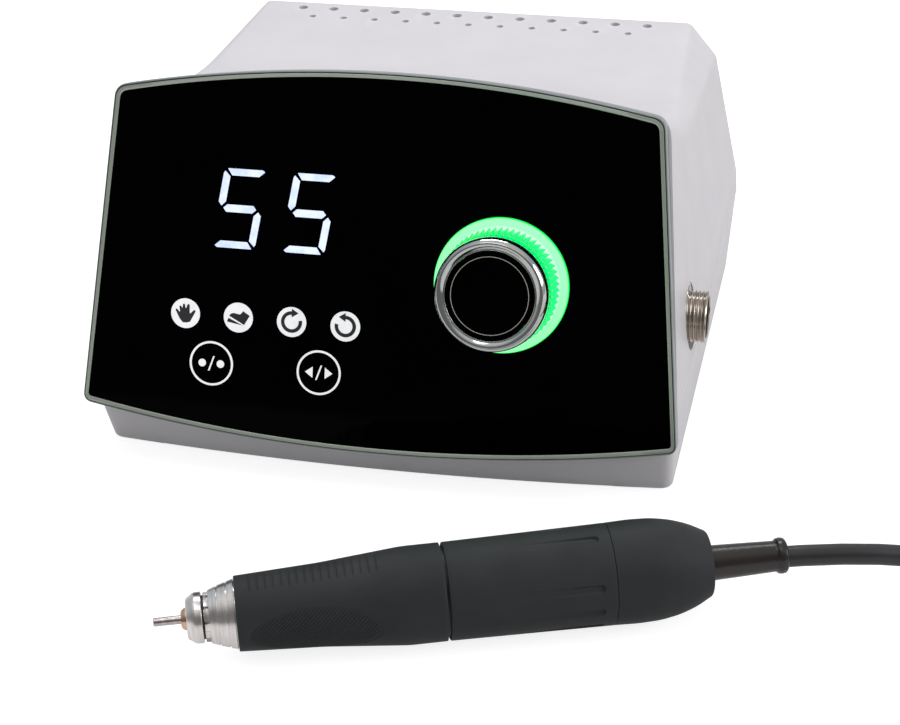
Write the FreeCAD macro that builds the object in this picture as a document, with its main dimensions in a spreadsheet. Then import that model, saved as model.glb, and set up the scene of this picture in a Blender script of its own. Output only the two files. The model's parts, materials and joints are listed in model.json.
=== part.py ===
"""Dental lab micromotor: a bench control unit with a corded motor handpiece lying in front of it.

Millimetres. +Z is up, the control panel faces -Y and the bench top is the plane Z = 0.
The origin is on the bench, under the middle of the unit and the handpiece together.
"""
import FreeCAD, Part
import math
import os

import Sketcher

Vector = FreeCAD.Vector
Rotation = FreeCAD.Rotation
Placement = FreeCAD.Placement

doc = FreeCAD.newDocument("dental_lab_micromotor")

# Driving dimensions: name, value, meaning. Lengths in mm, angles in degrees, the rest are counts.
DIMENSIONS = [
    # Case, in the unit's own frame: X to the right, Y to the back from the panel's lower edge
    ("wall", 2.5, "wall of both case shells"),
    ("lean", 18.3, "lean of the front panel from upright"),
    ("panel_low", 23.8, "height of the glass's lower corners above the bench"),
    ("panel_back", 6.0, "depth of the bezel behind the face of the glass"),
    ("case_rear", 167.0, "rear wall, behind the glass's lower edge"),
    ("base_gap", 1.0, "underside of the case above the bench"),
    ("base_front", 13.4, "front lower corners, behind the glass's lower edge"),
    ("base_bow", 4.9, "bow of the front lower edge"),
    ("skirt_mid", 14.0, "height of the fullest part of the front skirt"),
    ("parting", 30.0, "height of the joint between the two shells"),
    ("parting_half_front", 90.7, "half width at the joint, front"),
    ("case_flare", 3.3, "the rear is this much wider, each side"),
    ("base_draw_front", 1.5, "underside's side edge inside the joint's, front"),
    ("base_draw_rear", 2.4, "underside's side edge inside the joint's, rear"),
    ("flank_high", 38.0, "height where the rear walls start to lean in"),
    ("flank_draw", 0.4, "side wall there, inside the joint's rear edge"),
    ("facet_low", 81.5, "lower edge of the side facet at the rear"),
    ("facet_draw", 9.0, "side wall there, inside the joint's rear edge"),
    ("facet_tuck", 0.6, "further draw of that crease at the hood's foot"),
    ("top_high", 93.4, "height of the level top"),
    ("top_draw_rear", 17.2, "top's side edge inside the joint's, rear"),
    ("hood_foot", 90.0, "where the hood's ramp meets the level top"),
    ("top_draw_hood", 10.1, "top's side edge there, inside the joint's front edge"),
    ("hood_corner", 113.2, "height of the hood's front corners"),
    ("hood_draw", 6.3, "side wall there, inside the joint's front edge"),
    ("hood_bow", 6.8, "rise of the hood's front edge in the middle"),
    ("foot_drop", 0.6, "height of the moulded corner feet"),
    ("foot_size", 17.0, "side of a moulded corner foot"),
    ("pad_radius", 4.5, "rubber foot pad"),
    ("pad_height", 1.4, "rubber foot pad"),
    ("pad_inset", 9.5, "centre of a pad from the case's edges"),
    ("slack", 0.1, "clearance between pieces that fit together"),
    ("run", 0.05, "radial clearance of a turning or sliding fit"),
    # Vent holes in the top
    ("vent_pitch", 11.12, "spacing of the vent holes"),
    ("vent_large_radius", 1.65, "holes of the rear row"),
    ("vent_small_radius", 1.2, "holes of the front row"),
    ("vent_large_count", 12, "holes of the rear row"),
    ("vent_small_count", 11, "holes of the front row"),
    ("vent_large_inset", 6.7, "rear row, in front of the rear wall's face"),
    ("vent_small_inset", 14.6, "front row, in front of the rear wall's face"),
    # Screws that hold the shells together
    ("post_radius", 4.2, "screw posts of both shells"),
    ("post_draw_front", 6.1, "front posts inside the joint's front edge"),
    ("post_draw_rear", 6.9, "rear posts inside the joint's rear edge"),
    ("post_front", 30.0, "front posts, behind the glass's lower edge"),
    ("post_rear", 146.0, "rear posts, behind the glass's lower edge"),
    ("post_rise", 16.0, "height of the upper shell's posts"),
    ("case_screw_radius", 1.5, "case screw"),
    ("case_screw_length", 30.0, "case screw under its head"),
    ("case_head_radius", 2.8, "head of a case screw"),
    ("case_head_height", 2.0, "head of a case screw"),
    ("case_head_depth", 8.0, "head of a case screw above the underside"),
    # Front panel, in the panel's frame: x to the right, y up the glass, z out of the glass
    ("glass_draw_low", 0.7, "glass's lower corners inside the joint's front edge"),
    ("glass_draw_high", 9.2, "glass's upper corners inside the joint's front edge"),
    ("glass_height", 94.4, "lower corners to upper corners"),
    ("glass_bow_low", 8.5, "bow of the lower edge"),
    ("glass_bow_high", 8.3, "bow of the upper edge"),
    ("glass_thick", 3.0, "front glass"),
    ("glass_corner", 4.5, "corner radius of the glass"),
    ("bezel_rim", 2.0, "width of the bezel's rim"),
    ("bezel_proud", 0.7, "rim above the glass"),
    ("bezel_ledge", 2.4, "width of the ledge behind the glass"),
    ("board_gap", 3.4, "carrier to display board"),
    ("board_thick", 1.6, "all circuit boards"),
    ("display_half", 72.0, "half width of the display board"),
    ("display_low", 4.6, "lower edge of the display board"),
    ("display_high", 82.0, "upper edge of the display board"),
    ("display_post_radius", 2.6, "posts that carry the display board"),
    ("display_screw_radius", 1.2, "screws of both boards"),
    ("display_screw_length", 4.2, "screws of the display board"),
    ("display_post_inset", 5.0, "posts from the board's edges"),
    ("small_head_radius", 2.3, "heads of the boards' and the plate's screws"),
    ("small_head_height", 1.4, "heads of the boards' and the plate's screws"),
    ("digit_height", 23.2, "lit digits"),
    ("digit_width", 13.0, "lit digits"),
    ("digit_pitch", 21.6, "spacing of the two digits"),
    ("digit_mid", -32.4, "middle of the pair of digits, across"),
    ("digit_level", 61.8, "middle of the digits, up the glass"),
    ("digit_margin", 3.0, "display module around its digits"),
    ("icon_radius", 4.6, "round lit icons"),
    ("icon_first", -59.6, "first icon, across"),
    ("icon_pitch", 16.74, "spacing of the icons"),
    ("icon_count", 4, "round lit icons"),
    ("icon_level", 28.3, "icons, up the glass"),
    ("key_radius", 6.9, "ring of light round a touch key"),
    ("key_ring", 0.8, "width of that ring"),
    ("key_first", -51.0, "first touch key, across"),
    ("key_pitch", 33.9, "spacing of the two touch keys"),
    ("key_level", 13.4, "touch keys, up the glass"),
    # Control knob
    ("knob_across", 37.6, "knob's axis, across"),
    ("knob_level", 44.5, "knob's axis, up the glass"),
    ("halo_radius", 20.6, "outer radius of the ring of light"),
    ("halo_proud", 1.2, "ring of light above the glass"),
    ("skirt_radius", 16.8, "knurled skirt of the knob"),
    ("skirt_wall", 2.0, "wall of the skirt"),
    ("skirt_lift", 1.6, "skirt above the glass"),
    ("skirt_high", 13.0, "top of the skirt above the glass"),
    ("skirt_web", 2.4, "top wall of the skirt"),
    ("skirt_gap", 0.5, "skirt to the ring of light"),
    ("flute_count", 60, "flutes round the skirt"),
    ("flute_radius", 0.45, "flutes round the skirt"),
    ("rim_radius", 16.4, "chrome rim of the knob"),
    ("rim_width", 3.4, "chrome rim of the knob"),
    ("rim_height", 6.6, "chrome rim of the knob"),
    ("rim_round", 1.9, "rounding of the rim"),
    ("cap_sink", 0.7, "cap below the top of the rim"),
    ("knob_hub", 5.6, "hub inside the knob"),
    ("hub_low", 5.6, "lower end of the hub above the glass"),
    ("press_travel", 0.6, "travel of the knob when it is pressed"),
    ("encoder_side", 12.4, "square body of the encoder"),
    ("encoder_high", 6.5, "body of the encoder"),
    ("encoder_floor", 0.4, "floor of the encoder's body"),
    ("bushing_radius", 3.5, "threaded bushing of the encoder"),
    ("bushing_high", 4.4, "end of the bushing above the glass"),
    ("shaft_radius", 2.95, "encoder shaft"),
    ("shaft_high", 11.6, "end of the encoder shaft above the glass"),
    ("shaft_foot", 6.0, "foot of the encoder shaft below the glass's face"),
    ("shaft_room", 0.2, "room left under the shaft when the knob is pressed"),
    ("plunger_radius", 1.6, "switch plunger of the encoder"),
    ("plunger_length", 2.0, "switch plunger of the encoder"),
    # Handpiece socket in the right wall
    ("socket_back", 46.5, "socket's axis behind the glass's lower edge"),
    ("socket_level", 43.0, "socket's axis above the bench"),
    ("socket_inset", 1.3, "flat that the socket's flange sits on, inside the joint's front edge"),
    ("socket_radius", 8.4, "threaded barrel"),
    ("socket_bore", 6.7, "bore of the barrel"),
    ("socket_flange", 10.4, "flange radius"),
    ("socket_flange_thick", 1.1, "flange"),
    ("socket_proud", 7.2, "end of the barrel beyond its seat"),
    ("socket_depth", 13.0, "barrel behind its seat"),
    ("socket_lip", 5.6, "bore of the lip behind the insert"),
    ("socket_lip_long", 4.0, "lip behind the insert"),
    ("insert_long", 6.0, "insert that carries the contact pins"),
    ("socket_boss_radius", 12.4, "thickening of the wall round the socket"),
    ("socket_boss_deep", 4.0, "inner face of the thickening, behind the seat"),
    ("contact_out", 5.0, "contact pins in front of the insert"),
    ("contact_back", 5.0, "contact pins behind the insert"),
    ("socket_nut_radius", 11.0, "nut inside the wall, across corners"),
    ("socket_nut_height", 3.0, "nut inside the wall"),
    ("contact_radius", 0.8, "contact pins"),
    ("contact_circle", 4.2, "circle of the contact pins"),
    ("contact_count", 5, "contact pins"),
    # Rear plate and what it carries
    ("plate_half", 54.0, "half width of the rear plate"),
    ("plate_low", 34.5, "lower edge of the rear plate"),
    ("plate_high", 79.0, "upper edge of the rear plate"),
    ("plate_thick", 1.5, "rear plate"),
    ("plate_screw_length", 5.0, "screws of the rear plate"),
    ("plate_lap", 5.0, "plate around the opening in the rear wall"),
    ("plate_screw_inset", 2.6, "plate screws from the plate's edges"),
    ("inlet_across", 33.0, "power inlet's middle"),
    ("inlet_half", 14.0, "half width of the inlet's body"),
    ("inlet_low", 38.5, "lower edge of the inlet's flange"),
    ("inlet_high", 75.0, "upper edge of the inlet's flange"),
    ("inlet_flange", 2.2, "thickness of the inlet's flange"),
    ("inlet_lap", 2.0, "flange around the body"),
    ("inlet_depth", 21.0, "inlet's body behind its flange"),
    ("cavity_half", 12.2, "half width of the inlet's cavity"),
    ("cavity_low", 54.6, "lower edge of the cavity"),
    ("cavity_high", 71.0, "upper edge of the cavity"),
    ("cavity_depth", 17.0, "cavity behind the flange's face"),
    ("blade_wide", 4.0, "inlet blade"),
    ("blade_thick", 2.0, "inlet blade"),
    ("blade_long", 15.0, "inlet blade inside the cavity"),
    ("blade_tail", 6.0, "solder tail behind the inlet"),
    ("blade_spread", 7.0, "outer blades from the middle one"),
    ("blade_step", 4.0, "middle blade above the outer ones"),
    ("drawer_half", 11.2, "half width of the fuse drawer"),
    ("drawer_low", 42.5, "lower edge of the fuse drawer"),
    ("drawer_high", 51.0, "upper edge of the fuse drawer"),
    ("drawer_deep", 16.0, "fuse drawer behind the flange's face"),
    ("drawer_proud", 1.4, "grip of the fuse drawer"),
    ("drawer_grip_half", 6.0, "half width of the grip"),
    ("drawer_grip_high", 3.0, "height of the grip"),
    ("drawer_floor", 1.7, "floor of the fuse drawer"),
    ("fuse_back", 10.7, "fuse behind the flange's face"),
    ("fuse_radius", 2.6, "fuse"),
    ("fuse_length", 20.0, "fuse"),
    ("rocker_across", -3.0, "power switch's middle"),
    ("rocker_level", 56.0, "power switch's middle"),
    ("rocker_frame_half", 7.6, "half width of the switch's frame"),
    ("rocker_frame_high", 21.0, "height of the switch's frame"),
    ("rocker_frame_proud", 2.0, "frame beyond the plate"),
    ("rocker_depth", 15.0, "switch body behind the plate"),
    ("rocker_half", 5.2, "half width of the rocker"),
    ("rocker_frame_lap", 1.0, "flange of the frame around its body"),
    ("rocker_pivot", 4.9, "rocker's pivot below the frame's face"),
    ("rocker_gap", 0.3, "rocker to its frame"),
    ("rocker_mid", 3.6, "middle of the rocker's face above its pivot"),
    ("rocker_edge", 5.1, "edge of the rocker's face above its pivot"),
    ("rocker_back", 3.0, "back of the rocker below its pivot"),
    ("rocker_pin", 1.2, "radius of the rocker's pivot pin"),
    ("rocker_pin_reach", 0.9, "pin beyond the rocker's sides"),
    ("rocker_radius", 9.2, "round of the rocker's ends about its pivot"),
    ("rocker_tilt", 8.0, "tilt of the rocker to either side of level"),
    ("jack_across", -34.0, "foot control jack"),
    ("jack_level", 56.0, "foot control jack"),
    ("jack_radius", 7.0, "barrel of the jack"),
    ("jack_bore", 3.2, "bore of the jack"),
    ("jack_proud", 3.0, "jack beyond the plate"),
    ("jack_depth", 20.0, "jack behind the plate"),
    ("jack_flange", 8.6, "flange of the jack inside the plate"),
    ("jack_flange_thick", 2.0, "flange of the jack inside the plate"),
    ("jack_bore_deep", 17.0, "bore of the jack"),
    ("jack_nut_radius", 9.0, "nut of the jack"),
    ("jack_nut_height", 2.0, "nut of the jack"),
    # Inside the case
    ("main_half", 66.0, "half width of the main board"),
    ("main_front", 24.0, "front edge of the main board"),
    ("main_rear", 72.0, "rear edge of the main board"),
    ("main_high", 12.5, "underside of the main board"),
    ("boss_radius", 3.6, "bosses under the main board"),
    ("boss_inset", 5.0, "bosses from the board's edges"),
    ("main_screw_length", 6.0, "screws of the main board"),
    ("sink_back", 48.0, "heat sink's middle"),
    ("sink_length", 60.0, "heat sink"),
    ("sink_depth", 20.0, "heat sink"),
    ("sink_height", 24.0, "heat sink"),
    ("sink_base", 3.0, "base of the heat sink"),
    ("fin_count", 5, "fins of the heat sink"),
    ("fin_thick", 1.6, "fin of the heat sink"),
    ("core_radius", 37.0, "toroidal transformer"),
    ("core_hole", 11.0, "hole of the transformer"),
    ("core_height", 32.0, "toroidal transformer"),
    ("core_round", 6.0, "rounding of the transformer"),
    ("core_across", -40.0, "transformer's middle"),
    ("core_back", 117.0, "transformer's middle"),
    ("washer_radius", 24.0, "dished washer over the transformer"),
    ("washer_thick", 1.5, "dished washer over the transformer"),
    ("core_bolt_radius", 2.9, "bolt through the transformer"),
    ("core_bolt_head", 5.5, "head of that bolt, across corners"),
    ("core_bolt_head_high", 4.0, "head of that bolt"),
    ("core_bolt_foot", 1.5, "end of that bolt above the underside"),
    ("core_boss_radius", 8.0, "boss that takes the bolt"),
    ("core_boss_height", 3.0, "boss above the case's floor"),
    # Handpiece, in its own frame: x rearwards along its axis from the seam between its sleeves
    ("hand_x", 36.6, "seam of the handpiece in the unit's frame, across"),
    ("hand_y", -67.9, "seam of the handpiece, before the glass's lower edge"),
    ("hand_heading", 19.3, "handpiece's axis from the unit's X axis"),
    ("grip_front", -57.9, "front end of the grip"),
    ("grip_front_radius", 10.3, "grip at its front end"),
    ("grip_mid", -34.0, "middle of the grip"),
    ("grip_mid_radius", 11.5, "grip there"),
    ("grip_rear_radius", 13.6, "grip at the seam"),
    ("grip_rear_start", -11.0, "where the grip reaches its rear radius"),
    ("grip_bore", 9.5, "bore of the grip"),
    ("grip_land", 6.0, "length of the close fit at the grip's front end"),
    ("turn_gap", 0.3, "gap at the ends of pieces that turn"),
    ("seam", 1.5, "gap between the sleeves, where steel shows"),
    ("seam_forward", 0.9, "part of that gap in front of the frame's zero"),
    ("seam_radius", 13.0, "steel ring in the seam"),
    ("sleeve_length", 45.2, "motor sleeve"),
    ("sleeve_radius", 14.2, "motor sleeve at its rear end"),
    ("sleeve_bore", 11.3, "bore of the motor sleeve and rear cap"),
    ("sleeve_web", 5.0, "web of the motor sleeve that holds the rear bearing"),
    ("cap_gap", 0.4, "seam between motor sleeve and rear cap"),
    ("cap_full", 53.0, "where the rear cap is widest"),
    ("cap_full_radius", 14.5, "rear cap there"),
    ("cap_turn_radius", 13.2, "rear cap where it starts to close in"),
    ("cap_end_radius", 8.0, "rear end of the cap"),
    ("cap_hollow", 62.0, "where the cap's hollow starts to close in"),
    ("cap_hollow_lap", 3.0, "from there to where the cap's outside starts to close in"),
    ("cap_close", 10.4, "from that place to the rear end of the cap"),
    ("cap_cone", 5.0, "from the start of the closing hollow to the strain relief"),
    ("cap_throat", 9.0, "radius of the hollow at the strain relief's collar"),
    ("spigot_long", 4.2, "spigot of the motor sleeve inside the rear cap"),
    ("spigot_bore", 9.6, "bore of that spigot"),
    ("cap_wall", 4.0, "end wall of the rear cap"),
    ("relief_long", 20.6, "strain relief behind the cap"),
    ("relief_radius", 4.9, "strain relief where it leaves the cap"),
    ("relief_tip_radius", 4.3, "strain relief at its thin end"),
    ("relief_collar", 6.4, "collar inside the cap"),
    ("relief_bead", 3.0, "length of the bead at the end"),
    ("relief_bead_radius", 4.7, "bead at the end"),
    ("housing_front", -66.0, "front end of the steel housing"),
    ("housing_radius", 9.1, "steel housing inside the grip"),
    ("slot_ring_end", -64.7, "rear end of the slotted ring"),
    ("housing_lip_bore", 4.4, "bore of the lip in front of the front bearing"),
    ("housing_nose", 8.0, "thin end of the housing's stepped nose"),
    ("nose_step", 2.2, "length of a step of the nose"),
    ("nose_rise", 0.75, "rise of a step of the nose"),
    ("nose_steps", 3, "steps of the nose"),
    ("key_slot_wide", 2.0, "slots for a key in the slotted ring"),
    ("key_slot_floor", 5.6, "floor of those slots from the axis"),
    ("key_slot_count", 6, "slots for a key in the slotted ring"),
    ("nose_ring_front", -71.4, "front end of the nose ring"),
    ("nose_ring_radius", 6.7, "nose ring"),
    ("nose_ring_front_radius", 5.9, "nose ring at its front edge"),
    ("nose_ring_bore", 4.3, "bore of the nose ring"),
    ("spindle_radius", 4.0, "spindle"),
    ("spindle_bore", 3.0, "bore of the spindle"),
    ("spindle_front", -70.6, "front end of the spindle"),
    ("spindle_rear", 49.6, "rear end of the spindle"),
    ("spindle_blind", -1.0, "rear end of the spindle's bore"),
    ("spindle_neck", -36.0, "front face of the neck in the spindle's bore"),
    ("collet_front", -73.6, "front end of the collet"),
    ("collet_rear", -42.0, "rear end of the collet"),
    ("collet_nose", 2.5, "radius of the collet's nose"),
    ("collet_slit", 0.5, "width of the collet's slits"),
    ("collet_slit_end", -58.0, "rear end of the slits"),
    ("bar_radius", 1.5, "draw bar"),
    ("bar_head", 4.0, "length of the draw bar's head"),
    ("bar_gap", 0.1, "draw bar in the spindle's neck"),
    ("collet_slit_count", 3, "slits in the collet"),
    ("spring_wire", 0.9, "wall of the chuck spring"),
    ("spring_radius", 2.8, "chuck spring"),
    ("spring_front", -30.0, "front end of the chuck spring"),
    ("spring_rear", -12.0, "rear end of the chuck spring"),
    ("shank_radius", 1.175, "test mandrel, a 2.35 mm shank"),
    ("shank_front", -80.4, "front end of the shank"),
    ("shank_rear", -48.0, "rear end of the shank"),
    ("bearing_radius", 7.0, "outer radius of the bearings"),
    ("bearing_width", 5.0, "bearings"),
    ("front_bearing_at", -64.2, "front face of the front bearing"),
    ("middle_bearing_at", -26.0, "front face of the middle bearing"),
    ("cam_front", -16.0, "front face of the chuck's cam ring"),
    ("cam_length", 6.0, "cam ring"),
    ("cam_radius", 11.2, "cam ring"),
    ("magnet_front", 10.0, "rotor magnet"),
    ("magnet_length", 26.0, "rotor magnet"),
    ("magnet_radius", 7.0, "rotor magnet"),
    ("stator_front", 8.0, "stator"),
    ("stator_length", 30.0, "stator"),
    ("air_gap", 0.4, "rotor to stator"),
    # Cord
    ("cord_radius", 3.05, "cord"),
    ("coil_turn_radius", 33.5, "middle of the coil's turns"),
    ("coil_across", 3, "turns side by side in the coil"),
    ("coil_layers", 2, "turns on each other in the coil"),
    ("coil_x", 208.5, "middle of the coil in the unit's frame"),
    ("coil_y", 34.2, "middle of the coil"),
    ("tie_width", 14.0, "width of the tie round the coil"),
    ("tie_thick", 0.8, "tie round the coil"),
    ("tie_angle", 205.0, "place of the tie round the coil"),
    ("lead_start", 74.0, "start of the cord's line in the handpiece's frame"),
    ("lead_turn", 118.0, "first corner of the cord's line in the handpiece's frame"),
    ("lead_x", 190.8, "corner of the cord's line between the handpiece and the coil"),
    ("lead_y", -16.3, "that corner"),
    ("join_x", 223.97, "end of the line where the lowest turn of the coil takes over"),
    ("join_y", -2.25, "that end"),
    ("tail_dip", 0.1, "fall of the line in front of the coil's end"),
    ("tail_near_x", 248.9, "first corner of the line behind the coil"),
    ("tail_near_y", 56.0, "that corner"),
    ("tail_far_x", 249.6, "second corner of the line behind the coil, on the bench"),
    ("tail_far_y", 82.0, "that corner"),
    ("tail_turn", 58.0, "corner of the line in the plug's frame"),
    ("tail_end", 33.0, "end of the line in the plug's frame"),
    # Plug at the cord's far end, in its own frame: x rearwards along its axis from its mouth
    ("plug_x", 246.0, "mouth of the plug in the unit's frame"),
    ("plug_y", 166.0, "mouth of the plug"),
    ("plug_heading", -88.0, "from the plug's mouth to its cord"),
    ("plug_ring_radius", 9.4, "coupling ring of the plug"),
    ("plug_ring_length", 13.0, "coupling ring of the plug"),
    ("plug_bore", 8.3, "inside of the coupling ring"),
    ("plug_shell_radius", 7.4, "shell inside the coupling ring"),
    ("plug_shell_bore", 6.4, "bore of the shell"),
    ("plug_collar_radius", 8.0, "shell behind the coupling ring"),
    ("plug_collar_end", 30.0, "rear end of the shell's wide part"),
    ("plug_tail_radius", 5.6, "tail of the shell"),
    ("plug_tail_end", 41.0, "rear end of the tail"),
    ("plug_lip", 3.0, "lip of the coupling ring round the shell"),
    ("plug_flange", 1.5, "flange of the shell in front of that lip"),
    ("plug_front", 1.5, "front end of the shell behind the ring's mouth"),
    ("plug_insert_front", 4.0, "front face of the insert"),
    ("plug_insert_end", 12.0, "rear face of the insert"),
    ("plug_hollow", 5.0, "hollow behind the insert"),
    ("plug_hollow_end", 28.0, "rear end of that hollow"),
]

sheet = doc.addObject("Spreadsheet::Sheet", "Sizes")
for row, (alias, value, meaning) in enumerate(DIMENSIONS, start=1):
    sheet.set(f"A{row}", meaning)
    sheet.set(f"B{row}", str(value))
    sheet.setAlias(f"B{row}", alias)
doc.recompute()


class Size:
    """A length or a count, with the rule that works it out from the sheet."""

    def __init__(self, value, rule):
        self.value = float(value)
        self.rule = rule

    def combine(self, other, sign, value):
        return Size(value, f"({self.rule} {sign} {size(other).rule})")

    def __add__(self, other):
        return self.combine(other, "+", self.value + size(other).value)

    def __sub__(self, other):
        return self.combine(other, "-", self.value - size(other).value)

    def __mul__(self, other):
        return self.combine(other, "*", self.value * size(other).value)

    def __truediv__(self, other):
        return self.combine(other, "/", self.value / size(other).value)

    def __radd__(self, other):
        return size(other) + self

    def __rsub__(self, other):
        return size(other) - self

    def __rmul__(self, other):
        return size(other) * self

    def __neg__(self):
        return Size(-self.value, f"(0 - {self.rule})")

    def __float__(self):
        return self.value


def size(value):
    """The value as a Size; a plain number is its own rule."""
    return value if isinstance(value, Size) else Size(value, f"{float(value):.9g}")


class Sheet:
    """The sheet's sizes by name."""

    def __getattr__(self, alias):
        return Size(sheet.get(alias), f"Sizes.{alias}")


d = Sheet()


def tangent(angle):
    """Tangent of an angle in degrees, as a Size."""
    return Size(math.tan(math.radians(angle.value)), f"tan({angle.rule} * 1deg)")


def cosine(angle):
    """Cosine of an angle in degrees, as a Size."""
    return Size(math.cos(math.radians(angle.value)), f"cos({angle.rule} * 1deg)")


def sine(angle):
    """Sine of an angle in degrees, as a Size."""
    return Size(math.sin(math.radians(angle.value)), f"sin({angle.rule} * 1deg)")


def count(number):
    """A count from the sheet as a whole number."""
    return int(round(float(number)))


def bind(feature, **rules):
    """Set the feature's properties to sizes, by their rules on the sheet."""
    for name, value in rules.items():
        length = size(value)
        setattr(feature, name, length.value)
        feature.setExpression(name, length.rule)
    return feature


def move(feature, x=0, y=0, z=0, rotation=None):
    """Place a feature inside its own group, by sizes."""
    point = [size(x), size(y), size(z)]
    feature.Placement = Placement(Vector(*[float(p) for p in point]), rotation or Rotation())
    for axis, length in zip("xyz", point):
        feature.setExpression(f"Placement.Base.{axis}", length.rule)
    return feature


# Widths that follow the case's width at the front of its joint
parting_half_rear = d.parting_half_front + d.case_flare
base_half_front = d.parting_half_front - d.base_draw_front
base_half_rear = parting_half_rear - d.base_draw_rear
flank_half_rear = parting_half_rear - d.flank_draw
facet_half_rear = parting_half_rear - d.facet_draw
top_half_rear = parting_half_rear - d.top_draw_rear
top_half_hood = d.parting_half_front - d.top_draw_hood
hood_half = d.parting_half_front - d.hood_draw
post_half = d.parting_half_front - d.post_draw_front
post_half_rear = parting_half_rear - d.post_draw_rear
glass_half_low = d.parting_half_front - d.glass_draw_low
glass_half_high = d.parting_half_front - d.glass_draw_high
socket_seat = d.parting_half_front - d.socket_inset

ALONG_X = Rotation(Vector(0, 1, 0), 90)
ALONG_Y = Rotation(Vector(1, 0, 0), -90)
TO_FRONT = Rotation(Vector(1, 0, 0), 90)
DOWNWARD = Rotation(Vector(1, 0, 0), 180)


def cylinder(label, radius, length, x=0, y=0, z=0, rotation=None):
    """A cylinder from its base's centre, along Z unless it is turned."""
    rod = doc.addObject("Part::Cylinder", label)
    bind(rod, Radius=radius, Height=length)
    return move(rod, x, y, z, rotation)


def box(label, x, y, z):
    """A box between three pairs of sizes."""
    block = doc.addObject("Part::Box", label)
    bind(block, Length=x[1] - x[0], Width=y[1] - y[0], Height=z[1] - z[0])
    return move(block, x[0], y[0], z[0])


def fuse(label, *shapes):
    """Several shapes as one solid."""
    joined = doc.addObject("Part::MultiFuse", label)
    joined.Shapes = list(shapes)
    joined.Refine = True
    return joined


def group(label, *shapes):
    """Several separate solids as one node."""
    bundle = doc.addObject("Part::Compound", label)
    bundle.Links = list(shapes)
    return bundle


def cut(label, base, *tools):
    """The base less its tools."""
    tool = tools[0] if len(tools) == 1 else group(label + "_tools", *tools)
    rest = doc.addObject("Part::Cut", label)
    rest.Base = base
    rest.Tool = tool
    return rest


def common(label, *shapes):
    """What the shapes share."""
    shared = doc.addObject("Part::MultiCommon", label)
    shared.Shapes = list(shapes)
    return shared


def tube(label, outer, inner, length, x=0, y=0, z=0, rotation=None):
    """A round tube."""
    skin = cylinder(label + "_outside", outer, length, x, y, z, rotation)
    bore = cylinder(label + "_bore", inner, length, x, y, z, rotation)
    return cut(label, skin, bore)


def hexagon(label, radius, bore, height, x=0, y=0, z=0, rotation=None):
    """A hexagonal nut with a round bore."""
    prism = doc.addObject("Part::Prism", label + "_hexagon")
    prism.Polygon = 6
    bind(prism, Circumradius=radius, Height=height)
    move(prism, x, y, z, rotation)
    return cut(label, prism, cylinder(label + "_bore", bore, height, x, y, z, rotation))


def draw(sketch, outline):
    """Draw a closed outline whose corners are fixed by sizes.

    outline: a list of (x, y), or (x, y, bow) where the edge to the next corner is an arc that
    bows out to the right of its direction by that size.
    """
    corners = [(size(p[0]), size(p[1])) for p in outline]
    bows = [size(p[2]) if len(p) == 3 else None for p in outline]
    last = len(corners)
    for i in range(last):
        start = corners[i]
        end = corners[(i + 1) % last]
        a = Vector(start[0].value, start[1].value, 0)
        b = Vector(end[0].value, end[1].value, 0)
        if bows[i] is None:
            sketch.addGeometry(Part.LineSegment(a, b), False)
            continue
        side = Vector(b.y - a.y, a.x - b.x, 0).normalize()
        middle = (a + b) * 0.5 + side * bows[i].value
        sketch.addGeometry(Part.Arc(a, middle, b), False)
    for i in range(last):
        before = (i - 1) % last
        clockwise = bows[i] is not None and bows[i].value < 0
        clockwise_before = bows[before] is not None and bows[before].value < 0
        first = 2 if clockwise else 1
        end_before = 1 if clockwise_before else 2
        sketch.addConstraint(Sketcher.Constraint("Coincident", before, end_before, i, first))
        for kind, length in (("DistanceX", corners[i][0]), ("DistanceY", corners[i][1])):
            index = sketch.addConstraint(Sketcher.Constraint(kind, -1, 1, i, first, length.value))
            sketch.setExpression(f"Constraints[{index}]", length.rule)
        if bows[i] is not None:
            a, b = corners[i], corners[(i + 1) % last]
            chord = (b[0] - a[0]) * (b[0] - a[0]) + (b[1] - a[1]) * (b[1] - a[1])
            outward = -bows[i] if clockwise else bows[i]
            radius = (chord / 4 + outward * outward) / (2 * outward)
            index = sketch.addConstraint(Sketcher.Constraint("Radius", i, radius.value))
            sketch.setExpression(f"Constraints[{index}]", radius.rule)
    return sketch


def sketch_on(label, outline, x=0, y=0, z=0, rotation=None):
    """A free sketch, placed by sizes."""
    return move(draw(doc.addObject("Sketcher::SketchObject", label), outline), x, y, z, rotation)


def plane_of(body, role):
    """One of a body's own origin planes."""
    return [plane for plane in body.Origin.OriginFeatures if plane.Role == role][0]


def sketch_in(body, label, role, outline):
    """A sketch on one of a body's own planes."""
    sketch = body.newObject("Sketcher::SketchObject", label)
    sketch.AttachmentSupport = [(plane_of(body, role), "")]
    sketch.MapMode = "FlatFace"
    return draw(sketch, outline)


def turned(label, outline, upright=False, angle=360):
    """A body turned from its half section.

    It turns about the X axis with the outline given as (x, radius), or where it is upright about
    the Z axis with the outline given as (radius, z).
    """
    body = doc.addObject("PartDesign::Body", label)
    section = sketch_in(body, label + "_section", "XZ_Plane", outline)
    lathe = body.newObject("PartDesign::Revolution", label + "_turning")
    lathe.Profile = section
    lathe.ReferenceAxis = (section, ["V_Axis" if upright else "H_Axis"])
    lathe.Midplane = angle != 360
    bind(lathe, Angle=angle)
    section.Visibility = False
    return body


def padded(label, outline, depth, reverse=False):
    """A body padded from an outline in its XY plane."""
    body = doc.addObject("PartDesign::Body", label)
    face = sketch_in(body, label + "_outline", "XY_Plane", outline)
    pad = body.newObject("PartDesign::Pad", label + "_pad")
    pad.Profile = face
    pad.Reversed = reverse
    bind(pad, Length=depth)
    face.Visibility = False
    return body


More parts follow.
